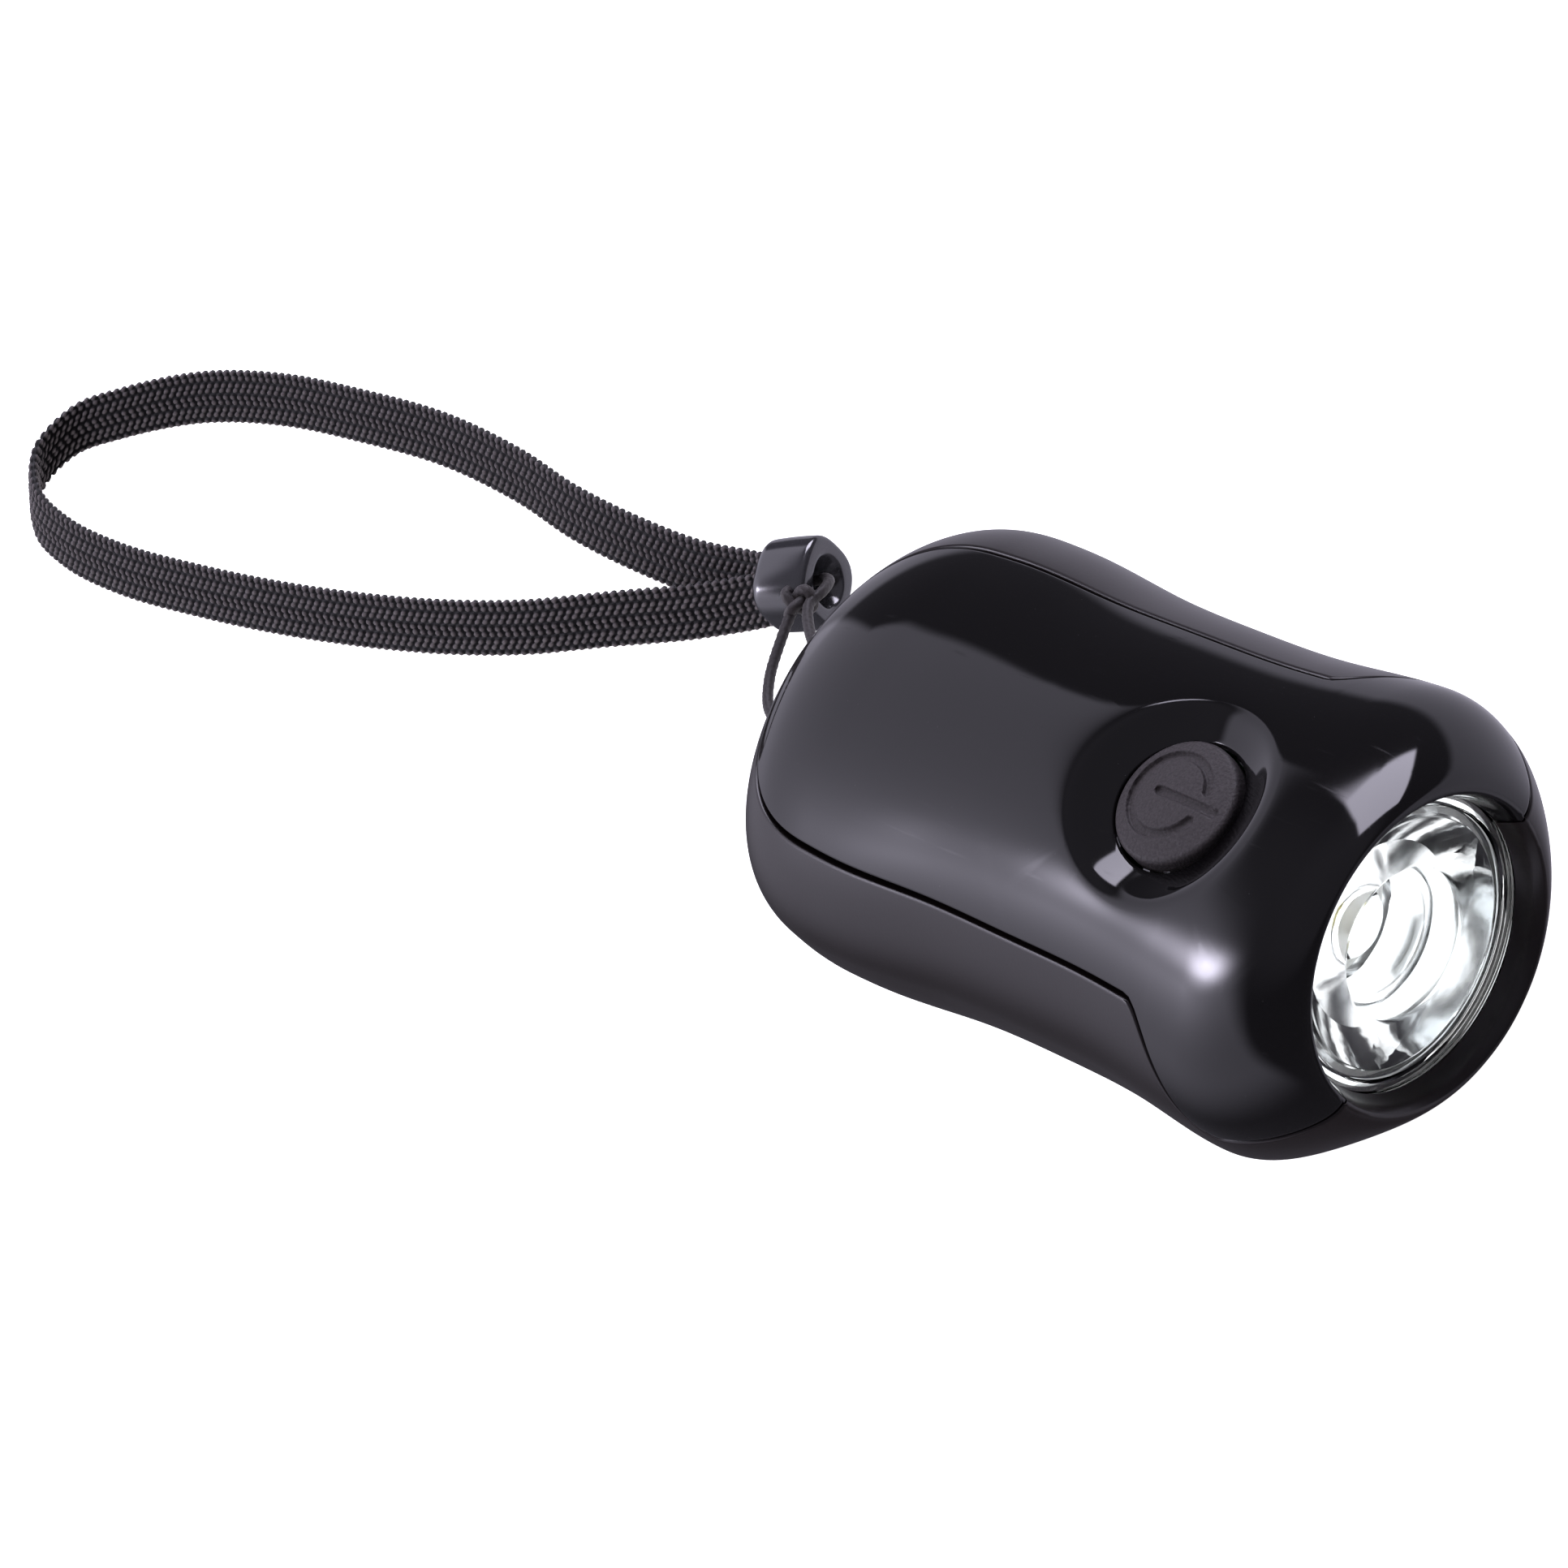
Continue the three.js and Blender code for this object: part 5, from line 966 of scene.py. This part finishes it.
def worked_metal(name, colour, roughness, spacing):
    """Worked metal: fine lines a spacing in millimetres apart change its gloss and its surface."""
    material, tree, shader = new_material(name, {"Metallic": 1.0, "Base Color": srgb(colour)})
    place = add(tree, "TexCoord", {}).outputs["Object"]
    stretched = add(tree, "Mapping", {"Vector": place, "Scale": (1, 1, 12)}).outputs["Vector"]
    lines = add(tree, "TexNoise", {"Vector": stretched, "Scale": 1 / (spacing * MM), "Detail": 3})
    gloss = add(tree, "MapRange", {
        "Value": lines.outputs["Fac"], "To Min": roughness * 0.7, "To Max": roughness * 1.3,
    })
    rise = add(tree, "Bump", {
        "Strength": 0.3, "Distance": TOOL_RISE * MM, "Height": lines.outputs["Fac"],
    })
    feed(shader, {"Roughness": gloss.outputs["Result"], "Normal": rise.outputs["Normal"]})
    return material


def recess_arm(x, y, reach_x, reach_y, heights):
    """A cutter for one arm of a screw's cross recess."""
    low, high = heights
    return box("recess", (x - reach_x, y - reach_y, low), (x + reach_x, y + reach_y, high), RECESS_CORNER)


# Zinc-plated steel: a pale grey mirror, dulled by the plating's fine lines.
steel = worked_metal("zinc_plated_steel", "#b9bcc0", 0.3, 1.2)
for number, (x, y) in enumerate(SCREW_PLACES, 1):
    screw = turned(f"case_screw_head_{number}", SCREW_PROFILE, (x, y), 48)
    carve(screw, [
        recess_arm(x, y, RECESS_REACH, RECESS_HALF, RECESS_HEIGHTS[0]),
        recess_arm(x, y, RECESS_HALF, RECESS_REACH, RECESS_HEIGHTS[1]),
    ], "DIFFERENCE")
    dress(screw, steel, "torch", "steel", f"case_screw_{number}")

rivet = turned("knob_rivet_turned", RIVET_PROFILE, (KNOB_X, 0), 48)
dress(rivet, steel, "arm", "steel", "knob_rivet")

# Lens: one clear acrylic moulding behind the bezel's lip. Its bowl mirrors light from inside,
# its flat front has a deep well, and a small domed lens stands in the middle of the well.
LENS_BACK, LENS_FRONT = 73.2, 84.8
FLANGE_BACK, FLANGE_RADIUS, FLANGE_FLAT, FLANGE_EDGE = 83.6, 15.45, 15.3, 0.15
LAMP_BORE, BORE_FLOOR, BORE_EDGE = 2.9, 75.2, 76.2
BOWL_BACK, BOWL_FRONT, BOWL_BEND = 4.4, 13.2, 1.45
EYE_RADIUS, EYE_TOP, EYE_EDGE = 6.3, 1.4, 3.4
# Radius and depth behind the front: the outer groove, the flat ring and the well's wall.
FRONT_STEPS = [
    (14.3, 0), (14.2, 0.1), (14.0, 0.45), (13.5, 0.5), (13.0, 0.45), (12.9, 0.3), (8.3, 0.3),
    (7.9, 0.5), (7.3, 3.0), (7.1, 3.3), (6.6, EYE_EDGE),
]


def turned_along(name, profile, bored=False):
    """A turned solid about the lamp's axis, from points of radius and place along the body. The
    profile of a bored one closes on itself."""
    profile = np.asarray(profile, float)
    angle = np.linspace(0, 2 * np.pi, 144, endpoint=False)
    y, z = profile[:, :1] * np.sin(angle), profile[:, :1] * np.cos(angle)
    rings = np.stack(np.broadcast_arrays(profile[:, 1:], y, LENS_HEIGHT + z), -1)
    return make(name, placed(rings), wrapped(rings, bored), sharp=30)


def curve(start, end, count, bend):
    """Points from start to end whose second value runs as a power of the first's share."""
    share = np.linspace(0, 1, count)[:, None]
    return start + np.subtract(end, start) * np.hstack([share, share**bend])


lens = turned_along("lens_optic", np.vstack([
    curve((0.001, BORE_FLOOR), (LAMP_BORE, BORE_EDGE), 8, 2),
    [(LAMP_BORE, LENS_BACK), (BOWL_BACK, LENS_BACK)],
    curve((BOWL_BACK, LENS_BACK), (BOWL_FRONT, FLANGE_BACK), 24, BOWL_BEND)[1:],
    [(FLANGE_FLAT, FLANGE_BACK), (FLANGE_RADIUS, FLANGE_BACK + FLANGE_EDGE)],
    [(FLANGE_RADIUS, LENS_FRONT - FLANGE_EDGE), (FLANGE_FLAT, LENS_FRONT)],
    [(radius, LENS_FRONT - depth) for radius, depth in FRONT_STEPS],
    curve((0.001, LENS_FRONT - EYE_TOP), (EYE_RADIUS, LENS_FRONT - EYE_EDGE), 16, 2)[::-1],
]))
# Moulded acrylic: clear, with slow waves where it flowed, so that what is seen through it bends.
FLOW_WAVE, FLOW_RISE = 3.5, 0.15
acrylic, tree, shader = new_material("moulded_acrylic", {
    "Base Color": srgb("#fafcfd"), "Roughness": 0.0, "IOR": 1.49, "Transmission Weight": 1.0,
})
place = add(tree, "TexCoord", {}).outputs["Object"]
flow = add(tree, "TexNoise", {"Vector": place, "Scale": 1 / (FLOW_WAVE * MM), "Detail": 2})
rise = add(tree, "Bump", {"Strength": 0.25, "Distance": FLOW_RISE * MM, "Height": flow.outputs["Fac"]})
feed(shader, {"Normal": rise.outputs["Normal"]})
dress(lens, acrylic, "torch", "clear_acrylic", "lens")

# Lens holder: a moulded ABS cup round the lens, metallised inside and fixed to the lamp board.
# It sends back the light that leaves the lens's bowl, so that the whole lamp looks bright.
HOLDER_PROFILE = [
    (4.9, 72.0), (6.6, 72.0), (13.7, 81.1), (14.8, 81.1), (14.8, 83.5), (14.1, 83.5), (13.3, 82.1),
    (4.9, 73.2),
]
holder = turned_along("holder_cup", HOLDER_PROFILE, bored=True)
# Metallised ABS: a mirror with a faint haze in patches of 2.5 mm.
HAZE_PATCH = 2.5
mirror_cup, tree, shader = new_material("metallised_abs", {
    "Base Color": srgb("#f6f7f8"), "Metallic": 1.0,
})
place = add(tree, "TexCoord", {}).outputs["Object"]
haze = add(tree, "TexNoise", {"Vector": place, "Scale": 1 / (HAZE_PATCH * MM), "Detail": 2})
gloss = add(tree, "MapRange", {"Value": haze.outputs["Fac"], "To Min": 0.05, "To Max": 0.2})
feed(shader, {"Roughness": gloss.outputs["Result"]})
dress(holder, mirror_cup, "torch", "white_plastic", "lens_holder")

# Everything else keeps its CAD shape and gets the look of its real material.
# Metals are turned or stamped, gears are moulded nylon, and the board is green solder mask.
CLOUD = 4


def pale_moulding(name, colour, roughness):
    """Pale moulded plastic: bright and even, with a faint cloudiness in colour and gloss."""
    material, tree, shader = new_material(name, {"IOR": 1.5})
    place = add(tree, "TexCoord", {}).outputs["Object"]
    cloud = add(tree, "TexNoise", {"Vector": place, "Scale": 1 / (CLOUD * MM), "Detail": 3})
    shade = add(tree, "Mix", {
        FACTOR: cloud.outputs["Fac"], COLOR_A: [c * 0.94 for c in srgb(colour)], COLOR_B: srgb(colour),
    }, data_type="RGBA")
    gloss = add(tree, "MapRange", {
        "Value": cloud.outputs["Fac"], "To Min": roughness * 0.8, "To Max": roughness * 1.2,
    })
    feed(shader, {"Base Color": shade.outputs[COLOR_OUT], "Roughness": gloss.outputs["Result"]})
    return material


inner_looks = {
    "satin_black_abs": bottom_abs,
    "soft_rubber": silicone,
    "steel": steel,
    "brass": worked_metal("turned_brass", "#c9a24a", 0.32, 1),
    "copper_wire": worked_metal("enamelled_copper", "#b0602f", 0.38, 0.4),
    "magnet": worked_metal("nickel_plated_magnet", "#7a7d82", 0.3, 2),
    "nylon": pale_moulding("moulded_nylon", "#e9e6dc", 0.5),
    "white_plastic": pale_moulding("white_abs", "#f4f4f2", 0.3),
    "circuit_board": grained_moulding("solder_mask", "#1f5a36", 0.35),
    "emitter": pale_moulding("phosphor", "#f4e9a0", 0.3),
    "red_wire": grained_moulding("red_pvc", "#b3231f", 0.45),
    "black_wire": grained_moulding("black_pvc", "#151515", 0.45),
}
for subpart in frame["record"]["subparts"]:
    if subpart["material_slot"] in inner_looks:
        for material_slot in frame["nodes"][subpart["node"]].material_slots:
            material_slot.material = inner_looks[subpart["material_slot"]]

# Studio: a pale floor, and round the flashlight a lit card, a window and a dim ceiling that
# the glossy shell mirrors. They stand in the world's light by their direction, and the camera
# sees a plain white backdrop in their place.
FLOOR_REACH, FLOOR_GLOW = 3, 1.05
bpy.context.scene.view_settings.view_transform = "Standard"
floor_corners = FLOOR_REACH * np.array([(-1, -1, 0), (1, -1, 0), (1, 1, 0), (-1, 1, 0)], float)
floor_mesh = bpy.data.meshes.new("floor")
floor_mesh.from_pydata(floor_corners.tolist(), [], [(0, 1, 2, 3)])
floor = bpy.data.objects.new("floor", floor_mesh)
bpy.context.scene.collection.objects.link(floor)
# White paper that glows a little, so that the floor stays plain and pale to its edge. It can
# be seen through from below, for the views of the base.
paper, tree, shader = new_material("white_paper", {
    "Base Color": srgb("#f4f4f4"), "Roughness": 0.8,
    "Emission Color": (1, 1, 1, 1), "Emission Strength": FLOOR_GLOW,
})
facing = add(tree, "NewGeometry", {})
clear = add(tree, "BsdfTransparent", {})
one_sided = add(tree, "MixShader", {
    0: facing.outputs["Backfacing"], 1: shader.outputs["BSDF"], 2: clear.outputs["BSDF"],
})
feed(tree.nodes["Material Output"], {"Surface": one_sided.outputs["Shader"]})
floor_mesh.materials.append(paper)
floor.visible_glossy = False

world = bpy.data.worlds.new("studio")
world.use_nodes = True
bpy.context.scene.world = world
tree = world.node_tree
direction = add(tree, "TexCoord", {}).outputs["Generated"]


def math(operation, first, *others):
    """Arithmetic on the world's values: on one alone, or with each of the others in turn."""
    if not others:
        return add(tree, "Math", {0: first}, operation=operation).outputs["Value"]
    for other in others:
        first = add(tree, "Math", {0: first, 1: other}, operation=operation).outputs["Value"]
    return first


def along(vector):
    """How far the direction of a ray points along a fixed one."""
    dot = add(tree, "VectorMath", {0: direction, 1: vector}, operation="DOT_PRODUCT")
    return dot.outputs["Value"]


def step_up(value, start, end):
    """0 below the start, 1 above the end and smooth between; falls if the end is the lower."""
    ramp = add(tree, "MapRange", {"Value": value, "From Min": start, "From Max": end},
               interpolation_type="SMOOTHSTEP")
    return ramp.outputs["Result"]


def compass(azimuth, elevation=0):
    """The unit vector at an azimuth and an elevation, in degrees."""
    a, e = np.radians(azimuth), np.radians(elevation)
    return (np.cos(a) * np.cos(e), np.sin(a) * np.cos(e), np.sin(e))


def beyond(first, second, blur=0.02):
    """1 on the left of the line from one direction to another, seen from inside the studio."""
    normal = np.cross(compass(*first), compass(*second))
    return step_up(along(tuple(unit(normal))), -blur, blur)


def degrees_from(azimuth, elevation):
    """The angle of a ray from a fixed direction, in degrees."""
    return math("MULTIPLY", math("ARCCOSINE", along(compass(azimuth, elevation))), 180 / np.pi)


# Directions are azimuth and elevation in degrees, and reaches are degrees too.
HOT_SPOT, HOT_REACH, HOT_LIGHT = (-140, 41), 4.8, 20
GLOW, GLOW_REACH, GLOW_LIGHT = (-138, 30), 10, 2.8
FAR_EDGE = [(141.5, 34.4), (158.9, 22.8), (168.4, -28.2)]
TOP_EDGE, TOP_BLUR = [(-107, 33), (141.5, 35)], 0.07
WINDOW_CORNERS = [(107, 15), (138, 40), (120, 57), (85, 35)]
EVEN_LIGHT, WINDOW_LIGHT, SWEEP_LIGHT = 0.75, 6.5, 0.5
CEILING_LIGHT, AMBIENT_LIGHT = 0.12, 0.11
BACKDROP_LIGHT, BACKDROP_IN_LENS = 1.25, 1.6
STUDIO_TINT = (0.97, 0.93, 1.12, 1)

# The card: an even light that fades towards the floor, a glow, and a hot spot where its lamp is.
_, far, height = add(tree, "SeparateXYZ", {"Vector": direction}).outputs
far_edge = math("MAXIMUM", beyond(*FAR_EDGE[1:]), beyond(*FAR_EDGE[:2]))
top_edge = beyond(*TOP_EDGE, TOP_BLUR)
glow = math("EXPONENT", math("DIVIDE", degrees_from(*GLOW), -GLOW_REACH))
hot_square = math("POWER", math("DIVIDE", degrees_from(*HOT_SPOT), HOT_REACH), 2)
core = math("EXPONENT", math("MULTIPLY", hot_square, -1))
even = math("MULTIPLY", step_up(height, -0.6, 0.05), EVEN_LIGHT)
lamp = math("ADD", math("MULTIPLY", glow, GLOW_LIGHT), even, math("MULTIPLY", core, HOT_LIGHT))
card = math("MULTIPLY", far_edge, top_edge, lamp)

# The window on the far side, the ceiling, and the pale sweep of the floor towards the far wall.
sides = zip(WINDOW_CORNERS, WINDOW_CORNERS[1:] + WINDOW_CORNERS[:1])
window = math("MULTIPLY", WINDOW_LIGHT, *[beyond(first, second) for first, second in sides])
ceiling = math("MULTIPLY", step_up(along((0, 0, 1)), 0.6, 0.9), CEILING_LIGHT)
ambient = math("ADD", ceiling, AMBIENT_LIGHT)
sweep = math("MULTIPLY", step_up(height, 0.03, -0.09), step_up(far, 0.03, 0.4), SWEEP_LIGHT)
light = math("ADD", ambient, card, sweep, window)

# The camera sees the white backdrop, also through the lens; all other rays see the studio.
path = add(tree, "LightPath", {})
through = math("GREATER_THAN", path.outputs["Transmission Depth"], 0.5)
white = math("MAXIMUM", path.outputs["Is Camera Ray"], through)
backdrop = add(tree, "Mix", {
    0: through, 2: BACKDROP_LIGHT, 3: BACKDROP_IN_LENS,
}, data_type="FLOAT").outputs[0]
strength = add(tree, "Mix", {0: white, 2: light, 3: backdrop}, data_type="FLOAT")
tint = add(tree, "Mix", {
    FACTOR: white, COLOR_A: STUDIO_TINT, COLOR_B: (1, 1, 1, 1),
}, data_type="RGBA")
feed(tree.nodes["Background"], {"Color": tint.outputs[COLOR_OUT], "Strength": strength.outputs[0]})

# A soft lamp over the near side gives the floor and the strap their shadows.
KEY_PLACE, KEY_POWER, KEY_SIZE = (-0.15, -0.35, 0.9), 2.2, 0.5
key = bpy.data.lights.new("key", "AREA")
key.energy, key.size = KEY_POWER, KEY_SIZE
key_lamp = bpy.data.objects.new("key", key)
bpy.context.scene.collection.objects.link(key_lamp)
key_lamp.location = KEY_PLACE
key_lamp.rotation_euler = (-Vector(KEY_PLACE)).to_track_quat("-Z", "Y").to_euler()
key_lamp.visible_glossy = False
